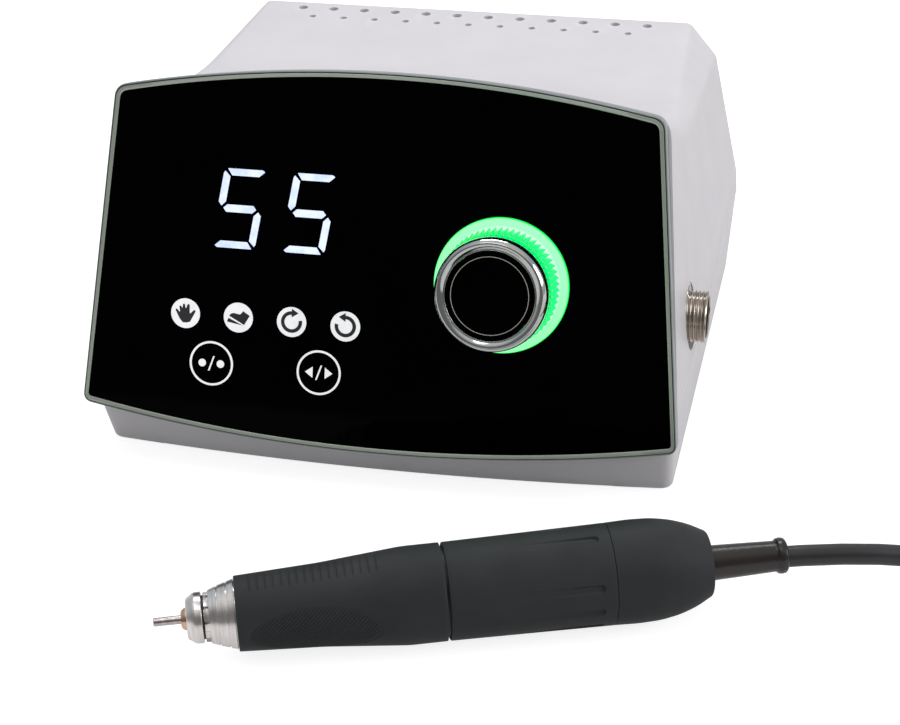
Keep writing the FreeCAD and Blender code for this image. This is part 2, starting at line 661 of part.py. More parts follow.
def loft(label, sections):
    """A solid with straight rulings between sketches."""
    skin = doc.addObject("Part::Loft", label)
    skin.Sections = sections
    skin.Solid = True
    skin.Ruled = True
    return skin


PIECES = {}


def keep(piece, placement=None):
    """Take a finished piece into the object, in its frame."""
    if placement is not None:
        piece.Placement = placement
    PIECES[piece.Label] = piece
    return piece


# Heights and faces that several pieces share
floor = d.base_gap + d.wall
lean_run = tangent(d.lean)
lean_cos = cosine(d.lean)
lean_sin = sine(d.lean)


def panel_y(z, depth):
    """How far back the plane lies at a height, for a plane behind the glass by that depth."""
    return (z - d.panel_low) * lean_run + depth / lean_cos


def panel_v(z, depth):
    """Distance up the panel's frame of a height on such a plane."""
    return (z - d.panel_low + depth * lean_sin) / lean_cos


def between(a, b, share):
    """A size part of the way from one to another."""
    return a + (b - a) * share


PANEL = Placement(Vector(0, 0, d.panel_low.value), Rotation(Vector(1, 0, 0), 90 - d.lean.value))

# Lower shell: horizontal sections, each with a bowed front edge
skirt_high = d.panel_low - d.bezel_rim


def half_width(z):
    """Half widths of the lower shell at a height, front and rear."""
    share = (z - d.base_gap) / (d.parting - d.base_gap)
    front = between(base_half_front, d.parting_half_front, share)
    rear = between(base_half_rear, parting_half_rear, share)
    return front, rear


def skirt_y(z):
    """Front corners of the lower shell at a height below the bezel."""
    share = (z - d.base_gap) / (skirt_high - d.base_gap)
    return between(d.base_front, panel_y(skirt_high, d.panel_back), share)


def level_section(label, z, y, bow, inward):
    """A horizontal section of the lower shell, drawn inward by a wall."""
    front, rear = half_width(z)
    first = (-(front - inward), y + inward) if bow is None else (-(front - inward), y + inward, bow)
    outline = [
        first,
        (front - inward, y + inward),
        (rear - inward, d.case_rear - inward),
        (-(rear - inward), d.case_rear - inward),
    ]
    return sketch_on(label, outline, z=z)


def lower_form(label, inward, low, high):
    """The lower shell's form, or its cavity."""
    skirt_bow = skirt_y(d.skirt_mid) - panel_y(d.skirt_mid, d.panel_back)
    bow_low = between(d.base_bow, skirt_bow, (low - d.base_gap) / (d.skirt_mid - d.base_gap))
    levels = [
        (low, skirt_y(low), bow_low),
        (d.skirt_mid, skirt_y(d.skirt_mid), skirt_bow),
        (skirt_high, panel_y(skirt_high, d.panel_back), None),
        (high, panel_y(high, d.panel_back), None),
    ]
    sections = [
        level_section(f"{label}_level_{i}", z, y, bow, size(inward))
        for i, (z, y, bow) in enumerate(levels)
    ]
    return loft(label, sections)


def panel_outline(offset):
    """The glass's outline, drawn outward by an offset."""
    return [
        (-(glass_half_low + offset), -size(offset), d.glass_bow_low),
        (glass_half_low + offset, -size(offset)),
        (glass_half_high + offset, d.glass_height + offset, d.glass_bow_high),
        (-(glass_half_high + offset), d.glass_height + offset),
    ]


def on_panel(feature, u=0, v=0, n=0, rotation=None):
    """Place a feature in the panel's frame, by sizes."""
    turn = PANEL.Rotation if rotation is None else PANEL.Rotation.multiply(rotation)
    y = size(v) * lean_sin - size(n) * lean_cos
    z = d.panel_low + size(v) * lean_cos + size(n) * lean_sin
    return move(feature, u, y, z, turn)


def panel_plate(label, offset, low, high, tilted=False):
    """A plate with the glass's outline between two depths, its corners rounded."""
    body = padded(label, panel_outline(offset), size(high) - low)
    doc.recompute()
    pad = body.Tip
    upright = [
        f"Edge{i}"
        for i, edge in enumerate(body.Shape.Edges, start=1)
        if abs(abs(edge.tangentAt(edge.FirstParameter).z) - 1) < 1e-6
    ]
    rounding = body.newObject("PartDesign::Fillet", label + "_corners")
    rounding.Base = (pad, upright)
    bind(rounding, Radius=d.glass_corner + offset)
    return on_panel(body, n=low) if tilted else move(body, z=low)


POSTS = [
    (side * half, back)
    for side in (-1, 1)
    for half, back in ((post_half, d.post_front), (post_half_rear, d.post_rear))
]


def post_at(label, radius, low, high):
    """The same rod at each of the four screw posts."""
    rods = []
    for i, (x, y) in enumerate(POSTS):
        rods.append(cylinder(f"{label}_{i}", radius, high - low, x, y, low))
    return rods


MAIN_BOSSES = [
    (side * (d.main_half - d.boss_inset), back)
    for side in (-1, 1)
    for back in (d.main_front + d.boss_inset, d.main_rear - d.boss_inset)
]


def make_lower_shell():
    """The tray: floor, walls, screw posts, board bosses and moulded corner feet."""
    form = lower_form("lower_form", 0, d.base_gap, d.parting)
    cavity = lower_form("lower_cavity", d.wall, floor, d.parting + 1)
    tray = cut("lower_tray", form, cavity)
    front, rear = base_half_front, base_half_rear
    outline = [
        (-front, d.base_front, d.base_bow),
        (front, d.base_front),
        (rear, d.case_rear),
        (-rear, d.case_rear),
    ]
    slab = padded("foot_slab", outline, d.foot_drop)
    move(slab, z=d.base_gap - d.foot_drop)
    corners = []
    for i, side in enumerate((-1, 1)):
        for j, (near, far) in enumerate((
            (d.base_front - d.base_bow, d.base_front + d.foot_size),
            (d.case_rear - d.foot_size, d.case_rear),
        )):
            x = (side * (rear + 1), side * (front - d.foot_size))
            low, high = (x[0], x[1]) if side < 0 else (x[1], x[0])
            corners.append(box(f"foot_corner_{i}{j}", (low, high), (near, far), (0, d.base_gap)))
    feet = common("corner_feet", slab, group("foot_corners", *corners))
    bosses = [
        cylinder(f"board_boss_{i}", d.boss_radius, d.main_high - d.base_gap, x, y, d.base_gap)
        for i, (x, y) in enumerate(MAIN_BOSSES)
    ]
    core_boss = cylinder(
        "core_boss", d.core_boss_radius, d.wall + d.core_boss_height,
        d.core_across, d.core_back, d.base_gap,
    )
    posts = post_at("lower_post", d.post_radius, d.base_gap, d.parting)
    solid = fuse("lower_solid", tray, feet, core_boss, *bosses, *posts)
    cuts = [
        cylinder(f"board_screw_bore_{i}", d.display_screw_radius, d.main_screw_length, x, y,
                 d.main_high - d.main_screw_length + d.board_thick)
        for i, (x, y) in enumerate(MAIN_BOSSES)
    ]
    cuts += post_at("screw_bore", d.case_screw_radius + d.slack, d.base_gap - 1, d.parting + 1)
    cuts += post_at("head_bore", d.case_head_radius + d.slack, d.base_gap - 2, d.case_head_depth)
    cuts += [
        cylinder(f"pad_recess_{i}", d.pad_radius + d.slack, d.pad_height, x, y, 0)
        for i, (x, y) in enumerate(PADS)
    ]
    cuts.append(cylinder(
        "core_bolt_bore", d.core_bolt_radius, d.wall + d.core_boss_height,
        d.core_across, d.core_back, d.base_gap + 1,
    ))
    cuts.append(front_opening("lower_front_opening"))
    keep(cut("lower_shell", solid, *cuts))


PADS = [
    (side * (half - d.pad_inset), back)
    for side in (-1, 1)
    for half, back in (
        (base_half_front, d.base_front + d.pad_inset),
        (base_half_rear, d.case_rear - d.pad_inset),
    )
]


def front_opening(label):
    """The opening of both shells behind the panel."""
    back = -(d.panel_back + d.wall + 4)
    return panel_plate(label, -(d.bezel_ledge + 1), back, -(d.panel_back - 1), tilted=True)


def make_foot_pads():
    """Four rubber pads set in the moulded feet."""
    pads = [
        cylinder(f"pad_{i}", d.pad_radius, d.pad_height, x, y) for i, (x, y) in enumerate(PADS)
    ]
    keep(group("foot_pads", *pads))


def upper_section(label, right, bow, y=0):
    """A section across the upper shell from its right half: (x, height) from the joint up."""
    left = [(-p[0], p[1]) for p in reversed(right)]
    outline = right[:-1] + [right[-1] if bow is None else (*right[-1], bow)] + left
    return sketch_on(label, outline, 0, y, 0, TO_FRONT)


def upper_form(label, inward, low, front_depth, rear):
    """The upper shell's form, or its cavity, between the panel's back and the rear wall."""
    inward = size(inward)
    hood_v = panel_v(d.hood_corner, front_depth)
    low_v = panel_v(low, front_depth)
    lean_out = (d.parting_half_front - hood_half) / (d.hood_corner - d.parting)
    flank_front = d.parting_half_front - lean_out * (d.flank_high - d.parting)
    shoulder = d.hood_corner - (d.top_high - d.facet_low) / 2
    shoulder_front = hood_half + lean_out * (d.hood_corner - shoulder)
    front = [
        (d.parting_half_front - inward, low_v),
        (flank_front - inward, panel_v(d.flank_high, front_depth)),
        (shoulder_front - inward, panel_v(shoulder, front_depth) - inward / 2),
        (hood_half - inward, hood_v - inward),
    ]
    foot_share = (d.hood_foot - panel_y(d.parting, d.panel_back)) / (
        d.case_rear - panel_y(d.parting, d.panel_back)
    )
    edge_half = between(d.parting_half_front, parting_half_rear, foot_share)
    flank_half = between(flank_front, flank_half_rear, foot_share)
    facet_half = between(hood_half, facet_half_rear, foot_share) - d.facet_tuck
    facet_high = between(d.top_high, d.facet_low, foot_share)
    middle = [
        (edge_half - inward, low),
        (flank_half - inward, d.flank_high),
        (facet_half - inward, facet_high - inward / 2),
        (top_half_hood - inward / 2, d.top_high - inward),
    ]
    back = [
        (parting_half_rear - inward, low),
        (flank_half_rear - inward, d.flank_high),
        (facet_half_rear - inward, d.facet_low - inward / 2),
        (top_half_rear - inward / 2, d.top_high - inward),
    ]
    sections = [
        on_panel(upper_section(label + "_front", front, d.hood_bow), n=-size(front_depth)),
        upper_section(label + "_middle", middle, None, d.hood_foot),
        upper_section(label + "_rear", back, None, rear),
    ]
    return loft(label, sections)


def vent_holes():
    """Two rows of holes in the top, the front row between the holes of the rear row."""
    rows = (
        ("large", d.vent_large_count, d.vent_large_radius, d.vent_large_inset),
        ("small", d.vent_small_count, d.vent_small_radius, d.vent_small_inset),
    )
    holes = []
    for name, number, radius, inset in rows:
        for i in range(count(number)):
            x = (i - (number - 1) / 2) * d.vent_pitch
            holes.append(cylinder(
                f"vent_{name}_{i}", radius, 2 * d.wall + 2, x, d.case_rear - inset,
                d.top_high - d.wall - 2,
            ))
    return holes


def make_upper_shell():
    """The cover: walls, hood behind the panel, vents, screw posts and openings."""
    form = upper_form("upper_form", 0, d.parting, d.panel_back, d.case_rear)
    cavity = upper_form(
        "upper_cavity", d.wall, d.parting - 1, d.panel_back + d.wall, d.case_rear - d.wall,
    )
    cover = cut("upper_cover", form, cavity)
    rods = post_at("upper_post", d.post_radius, d.parting, d.parting + d.post_rise)
    rods.append(cylinder(
        "socket_boss", d.socket_boss_radius, d.socket_boss_deep + 2 * d.wall,
        socket_seat - d.socket_boss_deep, d.socket_back, d.socket_level, ALONG_X,
    ))
    posts = common("upper_posts", form, group("upper_post_rods", *rods))
    solid = fuse("upper_solid", cover, posts)
    cuts = vent_holes()
    cuts += post_at("upper_screw_bore", d.case_screw_radius, d.parting - 1,
                    d.case_head_depth + d.case_screw_length + 1)
    cuts.append(front_opening("upper_front_opening"))
    inner_x = d.plate_half - d.plate_lap
    cuts.append(box(
        "rear_opening", (-inner_x, inner_x), (d.case_rear - d.wall - 1, d.case_rear + 1),
        (d.plate_low + d.plate_lap, d.plate_high - d.plate_lap),
    ))
    for i, (x, z) in enumerate(PLATE_SCREWS):
        cuts.append(cylinder(
            f"plate_screw_bore_{i}", d.display_screw_radius, d.wall + 2,
            x, d.case_rear - d.wall - 1, z, ALONG_Y,
        ))
    cuts.append(cylinder(
        "socket_hole", d.socket_radius + d.slack, d.socket_boss_deep + 2 * d.wall,
        socket_seat - d.socket_boss_deep - 1, d.socket_back, d.socket_level, ALONG_X,
    ))
    cuts.append(cylinder(
        "socket_spot_face", d.socket_flange + d.slack, 2 * d.wall,
        socket_seat, d.socket_back, d.socket_level, ALONG_X,
    ))
    keep(cut("upper_shell", solid, *cuts))


plate_screw_x = d.plate_half - d.plate_screw_inset
PLATE_SCREWS = [
    (side * plate_screw_x, z)
    for side in (-1, 1)
    for z in (d.plate_low + d.plate_screw_inset, d.plate_high - d.plate_screw_inset)
]


def screw_set(label, places, radius, length, head_radius, head_height, rotation=None):
    """Identical screws with their heads' undersides at the given places, shanks the other way."""
    screws = []
    for i, (x, y, z) in enumerate(places):
        shank = cylinder(f"{label}_shank_{i}", radius, length)
        head = cylinder(f"{label}_head_{i}", head_radius, head_height, z=-size(head_height))
        screw = fuse(f"{label}_{i}", shank, head)
        screws.append(move(screw, x, y, z, rotation))
    return group(label, *screws)


def make_case_screws():
    """Four screws from below through the posts."""
    places = [(x, y, d.case_head_depth) for x, y in POSTS]
    keep(screw_set("case_screws", places, d.case_screw_radius, d.case_screw_length,
                   d.case_head_radius, d.case_head_height))


board_front = d.panel_back + d.board_gap
DISPLAY_POSTS = [
    (side * (d.display_half - d.display_post_inset), v)
    for side in (-1, 1)
    for v in (d.display_low + d.display_post_inset, d.display_high - d.display_post_inset)
]
ICONS = [(d.icon_first + i * d.icon_pitch, d.icon_level) for i in range(count(d.icon_count))]
KEYS = [(d.key_first + i * d.key_pitch, d.key_level) for i in range(2)]


def rods_at(label, places, radius, low, high, bore=None):
    """The same rod, or tube, at each place across the panel."""
    rods = []
    for i, (x, y) in enumerate(places):
        if bore is None:
            rods.append(cylinder(f"{label}_{i}", radius, size(high) - low, x, y, low))
        else:
            rods.append(tube(f"{label}_{i}", radius, bore, size(high) - low, x, y, low))
    return rods


def digit_window(margin):
    """The digits' block across and up the glass, drawn outward by a margin."""
    half = (d.digit_pitch + d.digit_width) / 2 + d.digit_margin + margin
    high = d.digit_height / 2 + d.digit_margin + margin
    return (
        (d.digit_mid - half, d.digit_mid + half),
        (d.digit_level - high, d.digit_level + high),
    )


def make_front_panel():
    """Glass, bezel, carrier, board, display module, lights and the board's screws."""
    knob = [(d.knob_across, d.knob_level)]
    glass = panel_plate("glass_plate", 0, -d.glass_thick, 0)
    hole = rods_at("halo_hole", knob, d.halo_radius + d.slack, -(d.glass_thick + 1), 1)
    keep(cut("front_glass", glass, *hole), PANEL)

    outer = panel_plate("bezel_outside", d.bezel_rim, -d.panel_back, d.bezel_proud)
    seat = panel_plate("bezel_seat", d.slack, -d.glass_thick, d.bezel_proud + 1)
    inner = panel_plate("bezel_inside", -d.bezel_ledge, -(d.panel_back + 1), 0)
    keep(cut("front_bezel", outer, seat, inner), PANEL)

    inset = d.bezel_ledge + d.slack
    plate = panel_plate("carrier_plate", -inset, -d.panel_back, -d.glass_thick)
    posts = rods_at("carrier_post", DISPLAY_POSTS, d.display_post_radius, -board_front, -d.panel_back)
    solid = fuse("carrier_solid", plate, *posts)
    front = -(d.glass_thick - 1)
    window_x, window_y = digit_window(d.slack)
    cuts = [box("digit_window", window_x, window_y, (-(d.panel_back + 1), front))]
    cuts += rods_at("icon_hole", ICONS, d.icon_radius + d.slack, -(d.panel_back + 1), front)
    cuts += rods_at("key_hole", KEYS, d.key_radius + d.slack, -(d.panel_back + 1), front)
    cuts += rods_at("carrier_halo_hole", knob, d.halo_radius + d.slack, -(d.panel_back + 1), front)
    screw_end = d.display_screw_length - d.board_thick
    cuts += rods_at("carrier_bore", DISPLAY_POSTS, d.display_screw_radius, -(board_front + 1),
                    -(board_front - screw_end))
    keep(cut("panel_carrier", solid, *cuts), PANEL)

    half = d.display_half
    board_back = board_front + d.board_thick
    board = box("board_plate", (-half, half), (d.display_low, d.display_high),
                (-board_back, -board_front))
    holes = rods_at("board_hole", DISPLAY_POSTS, d.display_screw_radius + d.slack,
                    -(board_back + 1), -(board_front - 1))
    keep(cut("display_board", board, *holes), PANEL)
    places = [(x, y, -board_back) for x, y in DISPLAY_POSTS]
    keep(screw_set("display_screws", places, d.display_screw_radius, d.display_screw_length,
                   d.small_head_radius, d.small_head_height), PANEL)

    block_x, block_y = digit_window(0)
    block = doc.addObject("Part::Box", "display_module")
    bind(block, Length=block_x[1] - block_x[0], Width=block_y[1] - block_y[0],
         Height=board_front - d.glass_thick - d.slack)
    keep(on_panel(block, block_x[0], block_y[0], -board_front))

    icons = rods_at("icon_light", ICONS, d.icon_radius, -board_front, -d.glass_thick)
    keep(group("icon_lights", *icons), PANEL)
    rings = rods_at("key_light", KEYS, d.key_radius, -board_front, -d.glass_thick,
                    d.key_radius - d.key_ring)
    keep(group("key_rings", *rings), PANEL)
    halo = tube("halo_ring", d.halo_radius, d.skirt_radius + d.skirt_gap,
                board_front + d.halo_proud, z=-board_front)
    keep(halo, KNOB)


KNOB = PANEL.multiply(Placement(Vector(float(d.knob_across), float(d.knob_level), 0), Rotation()))


def knob_rod(label, radius, low, high):
    """A rod on the knob's axis between two heights above the glass."""
    rod = doc.addObject("Part::Cylinder", label)
    bind(rod, Radius=radius, Height=size(high) - low)
    return keep(on_panel(rod, d.knob_across, d.knob_level, low))


def make_knob():
    """Encoder with its shaft and plunger, and the knob on the shaft."""
    side = d.encoder_side / 2
    body_top = d.encoder_high - board_front
    body = box("encoder_block", (-side, side), (-side, side), (-board_front, body_top))
    bushing = cylinder("encoder_bushing", d.bushing_radius, d.bushing_high - body_top, z=body_top)
    room = d.shaft_foot + d.press_travel + d.shaft_room
    shaft_bore = cylinder("shaft_bore", d.shaft_radius + d.run, room + d.bushing_high + 1, z=-room)
    foot = board_front - d.encoder_floor
    plunger_bore = cylinder("plunger_bore", d.plunger_radius + d.run, foot, z=-foot)
    solid = fuse("encoder_solid", body, bushing)
    keep(cut("encoder_body", solid, shaft_bore, plunger_bore), KNOB)
    knob_rod("encoder_plunger", d.plunger_radius, -(d.shaft_foot + d.plunger_length), -d.shaft_foot)
    knob_rod("encoder_shaft", d.shaft_radius, -d.shaft_foot, d.shaft_high)

    web = d.skirt_high - d.skirt_web
    inside = d.skirt_radius - d.skirt_wall
    skirt = turned("skirt_turned", [
        (0, d.shaft_high),
        (d.shaft_radius, d.shaft_high),
        (d.shaft_radius, d.hub_low),
        (d.knob_hub, d.hub_low),
        (d.knob_hub, web),
        (inside, web),
        (inside, d.skirt_lift),
        (d.skirt_radius, d.skirt_lift),
        (d.skirt_radius, d.skirt_high),
        (0, d.skirt_high),
    ], upright=True)
    flutes = []
    for i in range(count(d.flute_count)):
        angle = 2 * math.pi * i / count(d.flute_count)
        flutes.append(cylinder(
            f"flute_{i}", d.flute_radius, d.skirt_high - d.skirt_lift - d.skirt_web / 2,
            d.skirt_radius * math.cos(angle), d.skirt_radius * math.sin(angle), d.skirt_lift,
        ))
    keep(cut("knob_skirt", skirt, *flutes), KNOB)

    rim_top = d.skirt_high + d.rim_height
    bore = d.rim_radius - d.rim_width
    bulge = d.rim_round * (1 - math.cos(math.pi / 4))
    keep(turned("knob_rim", [
        (bore, d.skirt_high),
        (d.rim_radius, d.skirt_high),
        (d.rim_radius, rim_top - d.rim_round, bulge),
        (d.rim_radius - d.rim_round, rim_top),
        (bore, rim_top),
    ], upright=True), KNOB)
    knob_rod("knob_cap", bore - d.slack, d.skirt_high, rim_top - d.cap_sink)


SOCKET = Placement(
    Vector(float(socket_seat), float(d.socket_back), float(d.socket_level)), Rotation()
)


def pins_round(label, circle, number, radius, low, high):
    """Rods along X, evenly spaced round a circle."""
    rods = []
    for i in range(count(number)):
        angle = 2 * math.pi * i / count(number)
        rods.append(cylinder(
            f"{label}_{i}", radius, size(high) - low,
            low, circle * math.sin(angle), circle * math.cos(angle), ALONG_X,
        ))
    return rods


def make_socket():
    """Threaded socket for the handpiece's plug, with its insert, pins and nut."""
    lip = d.socket_lip_long - d.socket_depth
    outline = [
        (-d.socket_depth, d.socket_lip),
        (lip, d.socket_lip),
        (lip, d.socket_bore),
        (d.socket_proud, d.socket_bore),
        (d.socket_proud, d.socket_radius),
        (d.socket_flange_thick, d.socket_radius),
        (d.socket_flange_thick, d.socket_flange),
        (0, d.socket_flange),
        (0, d.socket_radius),
        (-d.socket_depth, d.socket_radius),
    ]
    keep(turned("handpiece_socket", outline), SOCKET)
    face = lip + d.insert_long
    disc = ring("insert_disc", lip, face, d.socket_bore - d.slack)
    holes = pins_round("insert_hole", d.contact_circle, d.contact_count, d.contact_radius,
                       lip - 1, face + 1)
    keep(cut("socket_insert", disc, *holes), SOCKET)
    pins = pins_round("contact_pin", d.contact_circle, d.contact_count, d.contact_radius,
                      lip - d.contact_back, face + d.contact_out)
    keep(group("socket_pins", *pins), SOCKET)
    keep(hexagon("socket_nut", d.socket_nut_radius, d.socket_radius + d.run, d.socket_nut_height,
                 -(d.socket_boss_deep + d.socket_nut_height), 0, 0, ALONG_X), SOCKET)


def ring(label, front, rear, outer, inner=0):
    """A ring, or a disc, turned about the X axis."""
    return turned(label, [(front, inner), (rear, inner), (rear, outer), (front, outer)])


plate_face = d.case_rear + d.plate_thick
inlet_face = plate_face + d.inlet_flange


def spread(middle, half):
    """A range to both sides of a middle."""
    return (middle - half, middle + half)


def make_rear_plate():
    """Rear plate with the power inlet, its fuse drawer, the power switch and the foot jack."""
    rear = (d.case_rear - 1, inlet_face + 1)
    inlet_z = (d.inlet_low + d.inlet_lap, d.inlet_high - d.inlet_lap)
    frame_half = d.rocker_frame_half - d.rocker_frame_lap
    frame_high = d.rocker_frame_high / 2
    plate = box("plate_sheet", spread(0, d.plate_half), (d.case_rear, plate_face),
                (d.plate_low, d.plate_high))
    cuts = [
        box("inlet_window", spread(d.inlet_across, d.inlet_half + d.slack), rear,
            (inlet_z[0] - d.slack, inlet_z[1] + d.slack)),
        box("rocker_window", spread(d.rocker_across, frame_half + d.slack), rear,
            spread(d.rocker_level, frame_high + d.slack)),
        cylinder("jack_window", d.jack_radius + d.slack, d.plate_thick + 2,
                 d.jack_across, d.case_rear - 1, d.jack_level, ALONG_Y),
    ]
    for i, (x, z) in enumerate(PLATE_SCREWS):
        cuts.append(cylinder(f"plate_hole_{i}", d.display_screw_radius + d.slack,
                             d.plate_thick + 2, x, d.case_rear - 1, z, ALONG_Y))
    keep(cut("rear_plate", plate, *cuts))
    places = [(x, plate_face, z) for x, z in PLATE_SCREWS]
    keep(screw_set("plate_screws", places, d.display_screw_radius, d.plate_screw_length,
                   d.small_head_radius, d.small_head_height, TO_FRONT))

    flange = box("inlet_flange_plate", spread(d.inlet_across, d.inlet_half + d.inlet_lap),
                 (plate_face, inlet_face), (d.inlet_low, d.inlet_high))
    block = box("inlet_block", spread(d.inlet_across, d.inlet_half),
                (inlet_face - d.inlet_depth, inlet_face), inlet_z)
    cavity_back = inlet_face - d.cavity_depth
    cavity = box("inlet_cavity", spread(d.inlet_across, d.cavity_half),
                 (cavity_back, inlet_face + 1), (d.cavity_low, d.cavity_high))
    bay = box("drawer_bay", spread(d.inlet_across, d.drawer_half + d.slack),
              (inlet_face - d.drawer_deep - d.slack, inlet_face + 1),
              (d.drawer_low - d.slack, d.drawer_high + d.slack))
    blade_back = inlet_face - d.inlet_depth - d.blade_tail
    middle = (d.cavity_low + d.cavity_high) / 2
    blades = []
    slots = []
    for i in (-1, 0, 1):
        across = spread(d.inlet_across + i * d.blade_spread, d.blade_thick / 2)
        level = middle + (d.blade_step / 2 if i == 0 else -d.blade_step / 2)
        high = spread(level, d.blade_wide / 2)
        blades.append(box(f"blade_{i + 1}", across, (blade_back, cavity_back + d.blade_long), high))
        slots.append(box(f"blade_slot_{i + 1}", across, (blade_back, cavity_back + 1), high))
    keep(cut("power_inlet", fuse("inlet_solid", flange, block), cavity, bay, *slots))
    keep(group("inlet_blades", *blades))

    tray = box("drawer_block", spread(d.inlet_across, d.drawer_half),
               (inlet_face - d.drawer_deep, inlet_face), (d.drawer_low, d.drawer_high))
    grip = box("drawer_grip", spread(d.inlet_across, d.drawer_grip_half),
               (inlet_face - 1, inlet_face + d.drawer_proud),
               spread((d.drawer_low + d.drawer_high) / 2, d.drawer_grip_high / 2))
    fuse_half = d.fuse_length / 2
    trough = box("fuse_trough", spread(d.inlet_across, fuse_half + d.slack),
                 spread(inlet_face - d.fuse_back, d.fuse_radius + d.slack),
                 (d.drawer_low + d.drawer_floor, d.drawer_high + 1))
    keep(cut("fuse_drawer", fuse("drawer_solid", tray, grip), trough))
    link = cylinder("fuse", d.fuse_radius, d.fuse_length, d.inlet_across - fuse_half,
                    inlet_face - d.fuse_back, d.drawer_low + d.drawer_floor + d.fuse_radius, ALONG_X)
    keep(link)

    frame_face = plate_face + d.rocker_frame_proud
    rim = box("rocker_rim", spread(d.rocker_across, d.rocker_frame_half), (plate_face, frame_face),
              spread(d.rocker_level, frame_high + d.rocker_frame_lap))
    shell = box("rocker_block", spread(d.rocker_across, frame_half),
                (plate_face - d.rocker_depth, frame_face), spread(d.rocker_level, frame_high))
    pivot = frame_face - d.rocker_pivot
    room = d.rocker_half + d.rocker_gap
    well = cylinder("rocker_well", d.rocker_radius + d.rocker_gap, 2 * room,
                    d.rocker_across - room, pivot, d.rocker_level, ALONG_X)
    pin_half = d.rocker_half + d.rocker_pin_reach
    pin_bore = cylinder("rocker_pin_bore", d.rocker_pin + d.run, 2 * (pin_half + d.slack),
                        d.rocker_across - pin_half - d.slack, pivot, d.rocker_level, ALONG_X)
    keep(cut("rocker_frame", fuse("rocker_case", rim, shell), well, pin_bore))

    radius = d.rocker_radius
    profile = padded("rocker_profile", [
        (-d.rocker_back, -radius),
        (d.rocker_edge, -radius),
        (d.rocker_mid, 0),
        (d.rocker_edge, radius),
        (-d.rocker_back, radius),
    ], 2 * d.rocker_half)
    move(profile, z=-d.rocker_half)
    round_ends = cylinder("rocker_round", radius, 2 * d.rocker_half, z=-d.rocker_half)
    pin = cylinder("rocker_pin_rod", d.rocker_pin, 2 * pin_half, z=-pin_half)
    rocker = fuse("rocker", common("rocker_body", profile, round_ends), pin)
    level_turn = Rotation(Vector(0, 1, 0), Vector(0, 0, 1), Vector(1, 0, 0), "ZXY")
    pressed = Rotation(Vector(1, 0, 0), float(d.rocker_tilt))
    keep(rocker, Placement(
        Vector(float(d.rocker_across), float(pivot), float(d.rocker_level)),
        pressed.multiply(level_turn),
    ))

    back = -d.plate_thick
    jack = turned("foot_jack", [
        (-d.jack_depth, 0),
        (d.jack_proud - d.jack_bore_deep, 0),
        (d.jack_proud - d.jack_bore_deep, d.jack_bore),
        (d.jack_proud, d.jack_bore),
        (d.jack_proud, d.jack_radius),
        (back, d.jack_radius),
        (back, d.jack_flange),
        (back - d.jack_flange_thick, d.jack_flange),
        (back - d.jack_flange_thick, d.jack_radius),
        (-d.jack_depth, d.jack_radius),
    ])
    keep(jack, Placement(
        Vector(float(d.jack_across), float(plate_face), float(d.jack_level)),
        Rotation(Vector(0, 0, 1), 90),
    ))
    keep(hexagon("jack_nut", d.jack_nut_radius, d.jack_radius + d.run, d.jack_nut_height),
         Placement(Vector(float(d.jack_across), float(plate_face), float(d.jack_level)), ALONG_Y))


def make_inside():
    """Main board with its heat sink, and the transformer on the case's floor."""
    board_top = d.main_high + d.board_thick
    board = box("main_plate", spread(0, d.main_half), (d.main_front, d.main_rear),
                (d.main_high, board_top))
    holes = rods_at("main_hole", MAIN_BOSSES, d.display_screw_radius + d.slack,
                    d.main_high - 1, board_top + 1)
    keep(cut("main_board", board, *holes))
    places = [(x, y, board_top) for x, y in MAIN_BOSSES]
    keep(screw_set("board_screws", places, d.display_screw_radius, d.main_screw_length,
                   d.small_head_radius, d.small_head_height, DOWNWARD))
    half = d.sink_length / 2
    parts = [box("sink_plate", spread(0, half), spread(d.sink_back, d.sink_depth / 2),
                 (board_top, board_top + d.sink_base))]
    pitch = (d.sink_depth - d.fin_thick) / (d.fin_count - 1)
    for i in range(count(d.fin_count)):
        y = d.sink_back - d.sink_depth / 2 + i * pitch
        parts.append(box(f"fin_{i}", spread(0, half), (y, y + d.fin_thick),
                         (board_top, board_top + d.sink_height)))
    keep(fuse("heat_sink", *parts))

    outer, hole, high, curve = d.core_radius, d.core_hole, d.core_height, d.core_round
    bulge = curve * (1 - math.cos(math.pi / 4))
    core = turned("transformer", [
        (hole + curve, 0),
        (outer - curve, 0, bulge),
        (outer, curve),
        (outer, high - curve, bulge),
        (outer - curve, high),
        (hole + curve, high, bulge),
        (hole, high - curve),
        (hole, curve, bulge),
    ], upright=True)
    seat = Placement(Vector(float(d.core_across), float(d.core_back), float(floor)), Rotation())
    keep(core, seat)
    keep(tube("transformer_washer", d.washer_radius, d.core_bolt_radius + d.slack,
              d.washer_thick, z=high), seat)
    head_low = high + d.washer_thick
    foot = d.core_bolt_foot - d.wall
    shank = cylinder("core_bolt_shank", d.core_bolt_radius, head_low - foot, z=foot)
    head = doc.addObject("Part::Prism", "core_bolt_hexagon")
    head.Polygon = 6
    bind(head, Circumradius=d.core_bolt_head, Height=d.core_bolt_head_high)
    move(head, z=head_low)
    keep(fuse("transformer_bolt", shank, head), seat)


# The handpiece lies on its grip's rear edge and on its rear cap's widest ring
hand_rise = math.atan2(
    float(d.cap_full_radius - d.grip_rear_radius), float(d.cap_full - d.grip_rear_start)
)
hand_height = float(d.grip_rear_radius) * math.cos(hand_rise) - float(d.grip_rear_start) * math.sin(hand_rise)
HAND = Placement(
    Vector(float(d.hand_x), float(d.hand_y), hand_height),
    Rotation(Vector(0, 0, 1), float(d.hand_heading)).multiply(
        Rotation(Vector(0, 1, 0), -math.degrees(hand_rise))
    ),
)


